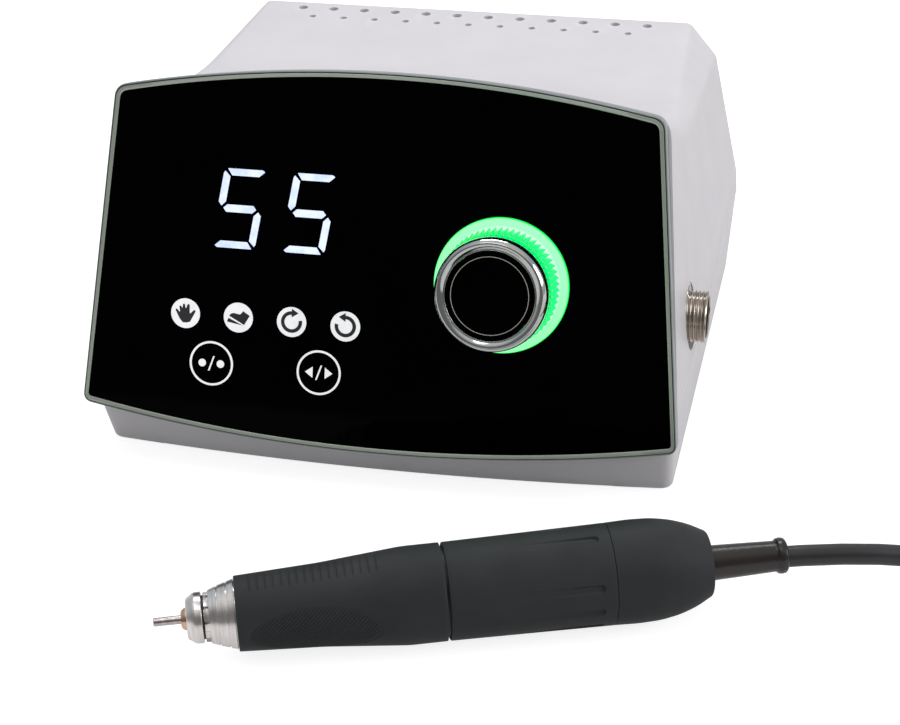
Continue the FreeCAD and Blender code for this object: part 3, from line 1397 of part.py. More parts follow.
def make_spindle():
    """Shank, collet, chuck spring, spindle, magnet and bearings."""
    keep(ring("shank", d.shank_front, d.shank_rear, d.shank_radius), HAND)
    head_front = d.spring_rear
    head_rear = head_front + d.bar_head
    sleeve = d.spindle_bore - d.run
    body = turned("collet_turned", [
        (d.collet_front, d.shank_radius + d.run),
        (d.shank_rear, d.shank_radius + d.run),
        (d.shank_rear, 0),
        (head_rear, 0),
        (head_rear, d.spring_radius),
        (head_front, d.spring_radius),
        (head_front, d.bar_radius),
        (d.collet_rear, d.bar_radius),
        (d.collet_rear, sleeve),
        (d.spindle_front, sleeve),
        (d.spindle_front, d.collet_nose),
        (d.collet_front, d.collet_nose),
    ])
    slits = []
    for i in range(count(d.collet_slit_count)):
        slit = box(f"slit_box_{i}", (d.collet_front - 1, d.collet_slit_end),
                   (-d.collet_slit / 2, d.collet_slit / 2), (0, d.spindle_radius))
        turn = group(f"slit_{i}", slit)
        turn.Placement = Placement(Vector(), Rotation(Vector(1, 0, 0), 360 * i / count(d.collet_slit_count)))
        slits.append(turn)
    keep(cut("collet", body, *slits), HAND)
    keep(ring("chuck_spring", d.spring_front, d.spring_rear, d.spring_radius,
              d.spring_radius - d.spring_wire), HAND)
    keep(turned("spindle", [
        (d.spindle_front, d.spindle_bore),
        (d.spindle_neck, d.spindle_bore),
        (d.spindle_neck, d.bar_radius + d.bar_gap),
        (d.spring_front, d.bar_radius + d.bar_gap),
        (d.spring_front, d.spindle_bore),
        (d.spindle_blind, d.spindle_bore),
        (d.spindle_blind, 0),
        (d.spindle_rear, 0),
        (d.spindle_rear, d.spindle_radius),
        (d.spindle_front, d.spindle_radius),
    ]), HAND)
    magnet_end = d.magnet_front + d.magnet_length
    keep(ring("rotor_magnet", d.magnet_front, magnet_end, d.magnet_radius, d.spindle_radius), HAND)
    races = []
    for i, front in enumerate((d.front_bearing_at, d.middle_bearing_at, sleeve_end - d.sleeve_web)):
        races.append(ring(f"bearing_{i}", front, front + d.bearing_width, d.bearing_radius,
                          d.spindle_radius + d.run))
    keep(group("bearings", *races), HAND)


seam_front = -d.seam_forward
sleeve_front = seam_front + d.seam
sleeve_end = sleeve_front + d.sleeve_length
cap_turn = d.cap_hollow + d.cap_hollow_lap
cap_end = cap_turn + d.cap_close
relief_front = d.cap_hollow + d.cap_cone
relief_end = cap_end + d.relief_long


def make_housing():
    """Steel housing with its stepped nose, nose ring, grip, cam ring, stator and sleeves."""
    step = d.slot_ring_end + d.nose_steps * d.nose_step
    outline = [
        (d.housing_front, d.housing_lip_bore),
        (d.front_bearing_at, d.housing_lip_bore),
        (d.front_bearing_at, d.bearing_radius),
        (d.stator_front, d.bearing_radius),
        (d.stator_front, d.sleeve_bore),
        (sleeve_front, d.sleeve_bore),
        (sleeve_front, d.seam_radius),
        (seam_front, d.seam_radius),
        (seam_front, d.housing_radius),
        (step, d.housing_radius),
    ]
    for i in reversed(range(count(d.nose_steps))):
        radius = d.housing_nose + i * d.nose_rise
        outline.append((d.slot_ring_end + (i + 1) * d.nose_step, radius))
        outline.append((d.slot_ring_end + i * d.nose_step, radius))
    outline += [
        (d.slot_ring_end, d.nose_ring_radius),
        (d.housing_front, d.nose_ring_radius),
    ]
    body = turned("housing_turned", outline)
    slots = []
    for i in range(count(d.key_slot_count)):
        slot = box(f"key_slot_box_{i}", (d.housing_front - 1, d.slot_ring_end),
                   (-d.key_slot_wide / 2, d.key_slot_wide / 2),
                   (d.key_slot_floor, d.nose_ring_radius + 1))
        turn = group(f"key_slot_{i}", slot)
        turn.Placement = Placement(Vector(), Rotation(Vector(1, 0, 0), 360 * i / count(d.key_slot_count)))
        slots.append(turn)
    keep(cut("steel_housing", body, *slots), HAND)
    keep(turned("nose_ring", [
        (d.nose_ring_front, d.nose_ring_bore),
        (d.housing_front, d.nose_ring_bore),
        (d.housing_front, d.nose_ring_radius),
        (d.nose_ring_front, d.nose_ring_front_radius),
    ]), HAND)

    fit = d.housing_radius + d.run
    grip_rear = seam_front - d.turn_gap
    keep(turned("grip_sleeve", [
        (d.grip_front, fit),
        (d.grip_front + d.grip_land, fit),
        (d.grip_front + d.grip_land, d.grip_bore),
        (d.cam_front, d.grip_bore),
        (d.cam_front, d.cam_radius),
        (grip_rear, d.cam_radius),
        (grip_rear, d.grip_rear_radius),
        (d.grip_rear_start, d.grip_rear_radius),
        (d.grip_mid, d.grip_mid_radius),
        (d.grip_front, d.grip_front_radius),
    ]), HAND)
    keep(ring("cam_ring", d.cam_front, d.cam_front + d.cam_length, d.cam_radius, fit), HAND)
    stator_end = d.stator_front + d.stator_length
    keep(ring("stator", d.stator_front, stator_end, d.sleeve_bore, d.magnet_radius + d.air_gap), HAND)
    spigot_end = sleeve_end + d.spigot_long
    keep(turned("motor_sleeve", [
        (sleeve_front, d.sleeve_bore),
        (sleeve_end - d.sleeve_web, d.sleeve_bore),
        (sleeve_end - d.sleeve_web, d.bearing_radius),
        (sleeve_end, d.bearing_radius),
        (sleeve_end, d.spigot_bore),
        (spigot_end, d.spigot_bore),
        (spigot_end, d.sleeve_bore),
        (sleeve_end, d.sleeve_bore),
        (sleeve_end, d.sleeve_radius),
        (sleeve_front, d.grip_rear_radius),
    ]), HAND)
    collar_end = cap_end - d.cap_wall
    keep(turned("rear_cap", [
        (sleeve_end + d.cap_gap, d.sleeve_bore),
        (d.cap_hollow, d.sleeve_bore),
        (relief_front, d.cap_throat),
        (relief_front, d.relief_collar),
        (collar_end, d.relief_collar),
        (collar_end, d.relief_radius),
        (cap_end, d.relief_radius),
        (cap_end, d.cap_end_radius),
        (cap_turn, d.cap_turn_radius),
        (d.cap_full, d.cap_full_radius),
        (sleeve_end + d.cap_gap, d.sleeve_radius),
    ]), HAND)
    bead = relief_end - d.relief_bead
    keep(turned("strain_relief", [
        (relief_front, d.cord_radius),
        (relief_end, d.cord_radius),
        (relief_end, d.relief_bead_radius),
        (bead, d.relief_bead_radius),
        (bead, d.relief_tip_radius),
        (cap_end, d.relief_radius),
        (collar_end, d.relief_radius),
        (collar_end, d.relief_collar),
        (relief_front, d.relief_collar),
    ]), HAND)


# The plug lies on its coupling ring and on the end of its shell's wide part
plug_drop = math.atan2(
    float(d.plug_ring_radius - d.plug_collar_radius),
    float(d.plug_collar_end - d.plug_ring_length),
)
plug_height = (
    float(d.plug_ring_radius) * math.cos(plug_drop)
    + float(d.plug_ring_length) * math.sin(plug_drop)
)
PLUG = Placement(
    Vector(float(d.plug_x), float(d.plug_y), plug_height),
    Rotation(Vector(0, 0, 1), float(d.plug_heading)).multiply(
        Rotation(Vector(0, 1, 0), math.degrees(plug_drop))
    ),
)


def make_plug():
    """Plug at the cord's far end: shell, coupling ring and insert."""
    lip = d.plug_ring_length - d.plug_lip
    flange = lip - d.turn_gap
    rear = d.plug_ring_length + d.turn_gap
    keep(turned("plug_ring", [
        (0, d.plug_bore),
        (lip, d.plug_bore),
        (lip, d.plug_shell_radius + d.run),
        (d.plug_ring_length, d.plug_shell_radius + d.run),
        (d.plug_ring_length, d.plug_ring_radius),
        (0, d.plug_ring_radius),
    ]), PLUG)
    keep(turned("plug_shell", [
        (d.plug_front, d.plug_shell_bore),
        (d.plug_insert_end, d.plug_shell_bore),
        (d.plug_insert_end, d.plug_hollow),
        (d.plug_hollow_end, d.plug_hollow),
        (d.plug_hollow_end, d.cord_radius),
        (d.plug_tail_end, d.cord_radius),
        (d.plug_tail_end, d.plug_tail_radius),
        (d.plug_collar_end, d.plug_tail_radius),
        (d.plug_collar_end, d.plug_collar_radius),
        (rear, d.plug_collar_radius),
        (rear, d.plug_shell_radius),
        (flange, d.plug_shell_radius),
        (flange, d.plug_collar_radius),
        (flange - d.plug_flange, d.plug_collar_radius),
        (flange - d.plug_flange, d.plug_shell_radius),
        (d.plug_front, d.plug_shell_radius),
    ]), PLUG)
    disc = ring("plug_disc", d.plug_insert_front, d.plug_insert_end, d.plug_shell_bore)
    holes = pins_round("plug_hole", d.contact_circle, d.contact_count, d.contact_radius,
                       d.plug_insert_front - 1, d.plug_insert_end + 1)
    keep(cut("plug_insert", disc, *holes), PLUG)


def tube_along(label, points):
    """The cord along a route: straight runs joined by tangent arcs as large as the runs allow."""
    edges = []
    start = points[0]
    length = 0
    for i in range(1, len(points) - 1):
        inward = points[i - 1] - points[i]
        outward = points[i + 1] - points[i]
        turn = math.pi - inward.getAngle(outward)
        reach = 0.45 * min(inward.Length, outward.Length)
        radius = reach / math.tan(turn / 2)
        first = points[i] + Vector(inward).normalize() * reach
        second = points[i] + Vector(outward).normalize() * reach
        toward = (Vector(inward).normalize() + Vector(outward).normalize()).normalize()
        middle = points[i] + toward * (radius / math.cos(turn / 2) - radius)
        edges.append(Part.LineSegment(start, first).toShape())
        edges.append(Part.Arc(first, middle, second).toShape())
        length += (first - start).Length + radius * turn
        print(f"{label} point {i}: run {inward.Length:.1f}, turn {math.degrees(turn):.1f},"
              f" radius {radius:.0f}")
        start = second
    edges.append(Part.LineSegment(start, points[-1]).toShape())
    length += (points[-1] - start).Length
    path = Part.Wire(edges)
    radius = float(d.cord_radius)
    circle = Part.Wire(Part.Circle(points[0], points[1] - points[0], radius).toShape())
    pipe = path.makePipeShell([circle], True, True)
    expected = math.pi * radius * radius * length
    print(f"{label}: length {length:.1f}, volume {pipe.Volume:.1f}, expected {expected:.1f}")
    feature = doc.addObject("Part::Feature", label)
    feature.Shape = pipe
    return feature


def make_cord():
    """Lead from the handpiece to the coil, the coil with its tie, and the lead to the plug."""
    half = d.coil_across * d.cord_radius
    high = 2 * d.coil_layers * d.cord_radius
    inner = d.coil_turn_radius - half
    outer = d.coil_turn_radius + half
    coil = tube("cord_coil", outer, inner, high, d.coil_x, d.coil_y, d.tie_thick)
    keep(coil)
    wrap = tube("tie_wrap", outer + d.tie_thick, inner - d.tie_thick, high + 2 * d.tie_thick)
    strip = box("tie_strip", (0, outer + 2), spread(0, d.tie_width / 2), (-1, high + 5))
    band = common("tie_band", wrap, strip)
    band.Placement = Placement(
        Vector(float(d.coil_x), float(d.coil_y), 0), Rotation(Vector(0, 0, 1), float(d.tie_angle))
    )
    keep(cut("cord_tie", band, coil))

    def spot(x, y, z):
        return Vector(float(x), float(y), float(z))

    radius = d.cord_radius
    raised = radius + d.tie_thick
    lead = [
        HAND.multVec(spot(d.lead_start, 0, 0)),
        HAND.multVec(spot(d.lead_turn, 0, 0)),
        spot(d.lead_x, d.lead_y, radius),
        spot(d.join_x, d.join_y, raised),
    ]
    keep(cut("cord_lead", tube_along("lead_route", lead), coil))
    upper = raised + 2 * radius
    tail = [
        spot(d.coil_x + d.coil_turn_radius + 2 * radius, d.coil_y, upper),
        spot(d.tail_near_x, d.tail_near_y, upper - d.tie_thick - d.tail_dip),
        spot(d.tail_far_x, d.tail_far_y, radius),
        PLUG.multVec(spot(d.tail_turn, 0, 0)),
        PLUG.multVec(spot(d.tail_end, 0, 0)),
    ]
    keep(cut("cord_tail", tube_along("tail_route", tail), coil))


make_lower_shell()
make_upper_shell()
make_foot_pads()
make_case_screws()
make_front_panel()
make_knob()
make_socket()
make_rear_plate()
make_inside()
make_spindle()
make_housing()
make_plug()
make_cord()

# Pieces on the cord, which the middle of the object leaves out
ON_CORD = ["cord_lead", "cord_coil", "cord_tail", "cord_tie", "plug_shell", "plug_ring", "plug_insert"]


def finish():
    """Check every object, centre the whole on the bench and write each node's file."""
    doc.recompute()
    for thing in doc.Objects:
        if "Invalid" in thing.State or "Error" in thing.State:
            raise RuntimeError(f"{thing.Label} failed: {thing.getStatusString()}")
    for name, piece in PIECES.items():
        if piece.Shape.isNull() or not piece.Shape.isValid():
            raise RuntimeError(f"{name} has no valid shape")
    whole = FreeCAD.BoundBox()
    for name, piece in PIECES.items():
        if name not in ON_CORD:
            whole.add(piece.Shape.optimalBoundingBox(False, False))
    shift = Vector(-whole.Center.x, -whole.Center.y, -whole.ZMin)
    print("shift", [round(v, 4) for v in shift], "size", round(whole.XLength, 3),
          round(whole.YLength, 3), round(whole.ZLength, 3))
    os.makedirs("parts", exist_ok=True)
    for name, piece in PIECES.items():
        shape = piece.Shape.translated(shift)
        shape.exportStep(f"parts/{name}.step")
        print(name, len(shape.Solids), round(shape.Volume, 1))


finish()
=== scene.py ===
"""Dental lab micromotor, dressed over its CAD frame.

Shapes are worked out in millimetres in the control unit's own frame (X to the right, Y to the back,
Z up, zero on the bench below the glass's lower edge) and placed in metres in the frame's.
"""
import json
import math

import bmesh
import bpy
import numpy as np
from mathutils import Matrix, Vector


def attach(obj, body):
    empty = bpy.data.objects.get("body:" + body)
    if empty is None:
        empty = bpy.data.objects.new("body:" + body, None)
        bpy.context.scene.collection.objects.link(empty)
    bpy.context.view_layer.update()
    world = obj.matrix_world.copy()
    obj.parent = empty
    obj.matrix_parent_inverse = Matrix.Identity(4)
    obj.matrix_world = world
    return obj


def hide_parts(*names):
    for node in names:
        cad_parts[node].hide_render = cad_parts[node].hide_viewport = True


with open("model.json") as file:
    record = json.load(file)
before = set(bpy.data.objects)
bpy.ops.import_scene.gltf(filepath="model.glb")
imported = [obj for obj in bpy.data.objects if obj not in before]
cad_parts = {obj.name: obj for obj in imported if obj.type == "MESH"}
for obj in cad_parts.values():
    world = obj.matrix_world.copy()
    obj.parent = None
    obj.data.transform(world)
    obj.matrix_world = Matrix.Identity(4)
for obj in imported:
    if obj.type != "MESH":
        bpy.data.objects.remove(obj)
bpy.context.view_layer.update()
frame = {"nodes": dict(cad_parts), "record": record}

# The unit's own zero in the frame, in mm
HOME = np.array((-17.3753, -37.5176, 0.0))


def metres(points):
    """Points of the unit's own frame, in mm, as places in the frame, in metres."""
    return (np.asarray(points, float) + HOME) / 1000.0


class Seat:
    """A local frame: an origin in mm and three unit axes."""

    def __init__(self, origin, x, y):
        self.origin = np.asarray(origin, float)
        self.x = np.asarray(x, float)
        self.y = np.asarray(y, float)
        self.z = np.cross(self.x, self.y)

    def at(self, x, y, z):
        """Points of this frame from three arrays of coordinates."""
        x, y, z = np.broadcast_arrays(x, y, z)
        return (
            self.origin
            + x[..., None] * self.x
            + y[..., None] * self.y
            + z[..., None] * self.z
        )

    def turned(self, along, radius, angle):
        """Points round this frame's X axis; angle 0 is at its Z axis, a quarter turn on at its -Y."""
        return self.at(along, -radius * np.sin(angle), radius * np.cos(angle))

    def spun(self, profile, angle):
        """A profile of (along, radius) points carried round this frame's X axis, a row for each."""
        profile = np.asarray(profile, float)
        return self.turned(profile[:, :1], profile[:, 1:2], angle)

    def matrix_euler(self):
        """Origin in metres and Euler angles that turn world coordinates into this frame's."""
        turn = Matrix([self.x.tolist(), self.y.tolist(), self.z.tolist()])
        return metres(self.origin), turn.to_euler("XYZ")


# Where the pieces sit, in mm
LEAN = math.radians(18.3)
PANEL_FOOT = 23.8
PANEL = Seat((0, 0, PANEL_FOOT), (1, 0, 0), (0, math.sin(LEAN), math.cos(LEAN)))
KNOB = Seat(PANEL.at(37.6, 44.5, 0), PANEL.z, PANEL.x)
HAND_RISE = math.atan2(0.9, 64.0)
HAND_TURN = math.radians(19.3)
HAND = Seat(
    (36.6, -67.9, 13.6 * math.cos(HAND_RISE) + 11.0 * math.sin(HAND_RISE)),
    (
        math.cos(HAND_TURN) * math.cos(HAND_RISE),
        math.sin(HAND_TURN) * math.cos(HAND_RISE),
        math.sin(HAND_RISE),
    ),
    (-math.sin(HAND_TURN), math.cos(HAND_TURN), 0),
)
SOCKET = Seat((89.4, 46.5, 43.0), (1, 0, 0), (0, 1, 0))
PLUG_DROP = math.atan2(1.4, 17.0)
PLUG_TURN = math.radians(-88.0)
PLUG = Seat(
    (246.0, 166.0, 9.4 * math.cos(PLUG_DROP) + 13.0 * math.sin(PLUG_DROP)),
    (
        math.cos(PLUG_TURN) * math.cos(PLUG_DROP),
        math.sin(PLUG_TURN) * math.cos(PLUG_DROP),
        -math.sin(PLUG_DROP),
    ),
    (-math.sin(PLUG_TURN), math.cos(PLUG_TURN), 0),
)

# Camera: where the photograph was taken from
SENSOR = 36.0
IMAGE_WIDTH = 900
FOCAL_PIXELS = 2166.99
CAMERA_PLACE = (145.7, -539.7, 366.1)
CAMERA_YAW = -0.2207
CAMERA_PITCH = 0.5239
CAMERA_ROLL = 0.0261


def make_camera():
    """Camera from its place and its three angles: turned left, tipped down, rolled a little."""
    forward = Vector((
        math.sin(CAMERA_YAW) * math.cos(CAMERA_PITCH),
        math.cos(CAMERA_YAW) * math.cos(CAMERA_PITCH),
        -math.sin(CAMERA_PITCH),
    ))
    level = Vector((math.cos(CAMERA_YAW), -math.sin(CAMERA_YAW), 0))
    down = forward.cross(level)
    right = level * math.cos(CAMERA_ROLL) + down * math.sin(CAMERA_ROLL)
    up = level * math.sin(CAMERA_ROLL) - down * math.cos(CAMERA_ROLL)
    turn = Matrix((right, up, -forward)).transposed().to_4x4()
    data = bpy.data.cameras.new("camera")
    data.sensor_width = SENSOR
    data.lens = FOCAL_PIXELS * SENSOR / IMAGE_WIDTH
    data.clip_end = 20
    camera = bpy.data.objects.new("camera", data)
    camera.matrix_world = Matrix.Translation(metres(CAMERA_PLACE).tolist()) @ turn
    bpy.context.scene.collection.objects.link(camera)
    bpy.context.scene.camera = camera


make_camera()


# meshes
def new_object(name, data, body, material=None, replaces=()):
    """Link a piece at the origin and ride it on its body."""
    thing = bpy.data.objects.new(name, data)
    bpy.context.scene.collection.objects.link(thing)
    if material is not None:
        data.materials.append(material)
    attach(thing, body)
    if replaces:
        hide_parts(*replaces)
    return thing


def shaded(mesh, crease):
    """Smooth shading with sharp edges from an angle in degrees."""
    mesh.shade_smooth()
    mesh.set_sharp_from_angle(angle=math.radians(crease))
    return mesh


def finish_mesh(mesh, crease):
    """Merge doubles, turn the faces outwards by the sign of the volume and mark sharp edges."""
    work = bmesh.new()
    work.from_mesh(mesh)
    bmesh.ops.remove_doubles(work, verts=work.verts, dist=1e-7)
    bmesh.ops.recalc_face_normals(work, faces=work.faces)
    if work.calc_volume(signed=True) < 0:
        bmesh.ops.reverse_faces(work, faces=work.faces)
    work.to_mesh(mesh)
    work.free()
    return shaded(mesh, crease)


def grid_faces(rows, columns, wrap_rows, wrap_columns, first=0):
    """Quads of a grid of vertices numbered row by row."""
    i = np.arange(rows if wrap_rows else rows - 1)[:, None]
    j = np.arange(columns if wrap_columns else columns - 1)[None, :]
    i2 = (i + 1) % rows
    j2 = (j + 1) % columns
    faces = np.stack(np.broadcast_arrays(
        i * columns + j, i * columns + j2, i2 * columns + j2, i2 * columns + j
    ), -1)
    return faces.reshape(-1, 4) + first


def grid_mesh(name, sheets, wrap_rows=False, caps=True, crease=32.0):
    """One mesh from grids (rows, columns, 3) in mm, closed round; caps close their end rows."""
    places, quads, rims, first = [], [], [], 0
    for sheet in sheets:
        rows, columns = sheet.shape[:2]
        places.append(sheet.reshape(-1, 3))
        quads.append(grid_faces(rows, columns, wrap_rows, True, first))
        if caps and not wrap_rows:
            rims.append(list(range(first, first + columns)))
            last = first + (rows - 1) * columns
            rims.append(list(range(last + columns - 1, last - 1, -1)))
        first += rows * columns
    points = metres(np.concatenate(places))
    mesh = bpy.data.meshes.new(name)
    mesh.from_pydata(points.tolist(), [], np.concatenate(quads).tolist() + rims)
    mesh.validate()
    return finish_mesh(mesh, crease)


def turn_steps(count):
    """Angles round a full turn."""
    return np.linspace(0, 2 * math.pi, count, endpoint=False)


def rounded(points, radii, steps=5):
    """A polyline with each corner turned into a quadratic curve that starts and ends a setback away.

    The setback is the radius times the tangent of half the turn, at most 0.48 of either run.
    """
    points = np.asarray(points, float)
    radii = np.broadcast_to(np.asarray(radii, float), len(points))
    before = np.roll(points, 1, 0) - points
    after = np.roll(points, -1, 0) - points
    before[0] = points[1] - points[0]
    after[-1] = points[-2] - points[-1]
    long_before = np.linalg.norm(before, axis=1)
    long_after = np.linalg.norm(after, axis=1)
    cosine = np.clip((before * after).sum(1) / (long_before * long_after), -1, 1)
    half_turn = (math.pi - np.arccos(cosine)) / 2
    shorter = np.minimum(long_before, long_after)
    setback = np.minimum(radii * np.tan(np.clip(half_turn, 0, 1.5)), 0.48 * shorter)
    setback[[0, -1]] = 0
    a = points + before / long_before[:, None] * setback[:, None]
    b = points + after / long_after[:, None] * setback[:, None]
    t = np.linspace(0, 1, steps)[None, :, None]
    curve = (1 - t) ** 2 * a[:, None] + 2 * t * (1 - t) * points[:, None] + t ** 2 * b[:, None]
    flat = curve.reshape(-1, points.shape[1])
    keep = np.ones(len(flat), bool)
    keep[1:] = np.linalg.norm(np.diff(flat, axis=0), axis=1) > 1e-7
    return flat[keep]


def lathe(name, seat, profile, body, material, replaces=(), radii=0.15, around=96, steps=4):
    """A turned piece: the profile (along, radius) carried round the seat's X axis."""
    line = rounded(profile, radii, steps)
    points = seat.spun(line, turn_steps(around)[None, :])
    closed = np.allclose(profile[0], profile[-1])
    if closed:
        points = points[:-1]
    mesh = grid_mesh(name, [points], wrap_rows=closed, caps=not closed)
    return new_object(name, mesh, body, material, replaces)


def merged(name, meshes, crease):
    """Several meshes as one."""
    work = bmesh.new()
    for mesh in meshes:
        work.from_mesh(mesh)
    whole = bpy.data.meshes.new(name)
    work.to_mesh(whole)
    work.free()
    return shaded(whole, crease)


CARVED_CREASE = 28.0


def carve(base, cutters, join=()):
    """The base mesh less the cutters, by exact booleans."""
    def holder(mesh):
        thing = bpy.data.objects.new("carving", mesh)
        bpy.context.scene.collection.objects.link(thing)
        return thing
    work = holder(base)
    tools = []
    for operation, meshes in (("UNION", join), ("DIFFERENCE", cutters)):
        for mesh in meshes:
            tool = holder(mesh)
            tools.append(tool)
            step = work.modifiers.new("carve", "BOOLEAN")
            step.operation = operation
            step.solver = "EXACT"
            step.object = tool
    graph = bpy.context.evaluated_depsgraph_get()
    carved = bpy.data.meshes.new_from_object(work.evaluated_get(graph), depsgraph=graph)
    carved.materials.clear()
    for thing in [work, *tools]:
        bpy.data.objects.remove(thing)
    return shaded(carved, CARVED_CREASE)


def rod_mesh(seat, low, high, radius, around=32):
    """A plain rod along the seat's X axis."""
    return grid_mesh("rod", [seat.spun(((low, radius), (high, radius)), turn_steps(around)[None, :])])


def softened(node, width, material):
    """A merged copy of a CAD node with its edges bevelled, in the node's place."""
    source = frame["nodes"][node]
    mesh = source.data.copy()
    mesh.transform(source.matrix_world)
    work = bmesh.new()
    work.from_mesh(mesh)
    bmesh.ops.remove_doubles(work, verts=work.verts, dist=1e-6)
    bmesh.ops.dissolve_limit(
        work, angle_limit=math.radians(1.0), verts=work.verts, edges=work.edges
    )
    work.to_mesh(mesh)
    work.free()
    mesh.materials.clear()
    body = next(b for b, nodes in frame["record"]["behaviour"]["bodies"].items() if node in nodes)
    thing = new_object(f"soft_{node}", mesh, body, material, (node,))
    bevel = thing.modifiers.new("edges", "BEVEL")
    bevel.width = width / 1000
    bevel.segments = 2
    bevel.limit_method = "ANGLE"
    bevel.angle_limit = math.radians(35)
    bevel.harden_normals = False
    shaded(mesh, 50.0)


# materials
def linear(red, green, blue):
    """A colour as it shows, 0 to 255, in Blender's linear numbers."""
    c = np.array((red, green, blue)) / 255
    c = np.where(c <= 0.04045, c / 12.92, ((c + 0.055) / 1.055) ** 2.4)
    return (*c.tolist(), 1.0)


def open_socket(sockets, name):
    """The socket of a name that is in use; a Mix node has one for each kind of value."""
    return next(s for s in sockets if s.name == name and s.enabled)


def add(tree, kind, links=None, **settings):
    """A node with its settings, and its inputs as numbers or as links."""
    node = tree.nodes.new(kind)
    for name, value in settings.items():
        setattr(node, name, value)
    for name, value in (links or {}).items():
        socket = node.inputs[name] if isinstance(name, int) else open_socket(node.inputs, name)
        if isinstance(value, bpy.types.NodeSocket):
            tree.links.new(value, socket)
        else:
            socket.default_value = value
    return node


def maths(tree, operation, first, second, **settings):
    """One sum of two values."""
    node = add(tree, "ShaderNodeMath", {0: first, 1: second}, operation=operation, **settings)
    return node.outputs["Value"]


def noise(tree, vector, scale, detail=2.0):
    """A soft cloud, 0 to 1."""
    links = {"Vector": vector, "Scale": scale, "Detail": detail}
    return add(tree, "ShaderNodeTexNoise", links).outputs["Fac"]


def mix(tree, factor, first, second, kind="RGBA"):
    """A blend of two colours, or of two numbers."""
    node = add(tree, "ShaderNodeMix", {"Factor": factor, "A": first, "B": second}, data_type=kind)
    return open_socket(node.outputs, "Result")


def share_between(tree, value, low, high, **settings):
    """How far a value is on its way from low to high, 0 to 1."""
    links = {"Value": value, "From Min": low, "From Max": high}
    return add(tree, "ShaderNodeMapRange", links, **settings).outputs["Result"]


def shown(tone):
    """A tone for a socket: a grey share, a colour as it shows (three numbers) or a linear one (four)."""
    if isinstance(tone, tuple):
        return linear(*tone) if len(tone) == 3 else tone
    return (tone, tone, tone, 1)


def ramp(tree, factor, *stops):
    """A colour ramp from (position, tone) stops."""
    node = add(tree, "ShaderNodeValToRGB", {"Fac": factor})
    band = node.color_ramp
    while len(band.elements) < len(stops):
        band.elements.new(0.5)
    for element, (place, tone) in zip(band.elements, stops):
        element.position = place
        element.color = shown(tone)
    return node.outputs["Color"]


def shader_group(name, inputs, outputs):
    """A shader node group that takes a vector and named numbers, and its two end nodes."""
    tree = bpy.data.node_groups.new(name, "ShaderNodeTree")
    tree.interface.new_socket("Vector", in_out="INPUT", socket_type="NodeSocketVector")
    for label, value in inputs:
        socket = tree.interface.new_socket(label, in_out="INPUT", socket_type="NodeSocketFloat")
        socket.default_value = value
    for label in outputs:
        tree.interface.new_socket(label, in_out="OUTPUT", socket_type="NodeSocketFloat")
    return tree, tree.nodes.new("NodeGroupInput"), tree.nodes.new("NodeGroupOutput")


def build_moulded_grain():
    """Fine pebbled grain of a mould: two sizes of noise, as a height and as a soft tone."""
    tree, start, end = shader_group(
        "moulded_grain", (("Grains per metre", 2500.0), ("Unevenness", 0.5)), ("Height", "Tone")
    )
    place = start.outputs["Vector"]
    links = {"Vector": place, "Scale": start.outputs["Grains per metre"]}
    fine = add(tree, "ShaderNodeTexVoronoi", links, feature="SMOOTH_F1").outputs["Distance"]
    wide = noise(tree, place, 60.0, 3.0)
    tree.links.new(mix(tree, start.outputs["Unevenness"], fine, wide, "FLOAT"), end.inputs["Height"])
    tree.links.new(wide, end.inputs["Tone"])
    return tree


def build_turning_marks():
    """Lathe marks: noise that is drawn out round the X axis, as a height and as bright streaks."""
    tree, start, end = shader_group("turning_marks", (("Lines per metre", 6000.0),), ("Height", "Streaks"))
    parts = add(tree, "ShaderNodeSeparateXYZ", {"Vector": start.outputs["Vector"]}).outputs
    slow = maths(tree, "MULTIPLY", maths(tree, "ARCTAN2", parts["Y"], parts["Z"]), 0.0006)
    line = add(tree, "ShaderNodeCombineXYZ", {"X": parts["X"], "Y": slow}).outputs["Vector"]
    tree.links.new(noise(tree, line, start.outputs["Lines per metre"]), end.inputs["Height"])
    tree.links.new(noise(tree, line, 900.0), end.inputs["Streaks"])
    return tree


def build_handling():
    """Traces of handling: smudges that change the gloss, and worn edges from the surface's pointiness."""
    tree, start, end = shader_group(
        "handling", (("Smudge size", 35.0), ("Gloss", 0.3), ("Change", 0.1)), ("Roughness", "Worn edge")
    )
    cloud = noise(tree, start.outputs["Vector"], start.outputs["Smudge size"], 4.0)
    swing = maths(tree, "MULTIPLY", maths(tree, "SUBTRACT", cloud, 0.5), start.outputs["Change"])
    rough = maths(tree, "ADD", swing, start.outputs["Gloss"], use_clamp=True)
    pointed = add(tree, "ShaderNodeNewGeometry").outputs["Pointiness"]
    edge = ramp(tree, pointed, (0.52, 0.0), (0.62, 1.0))
    tree.links.new(rough, end.inputs["Roughness"])
    tree.links.new(maths(tree, "MULTIPLY", edge, cloud), end.inputs["Worn edge"])
    return tree


GRAIN = build_moulded_grain()
TURNING = build_turning_marks()
HANDLING = build_handling()


def group_node(tree, group, links):
    """The outputs of a node group placed in a material with its own values."""
    return add(tree, "ShaderNodeGroup", links, node_tree=group).outputs


def start_material(name, **shader):
    """A material with a plain Principled shader and its object coordinates."""
    material = bpy.data.materials.new(name)
    material.use_nodes = True
    tree = material.node_tree
    principled = tree.nodes["Principled BSDF"]
    for socket, value in shader.items():
        principled.inputs[socket.replace("_", " ")].default_value = value
    return material, tree, principled, add(tree, "ShaderNodeTexCoord").outputs["Object"]


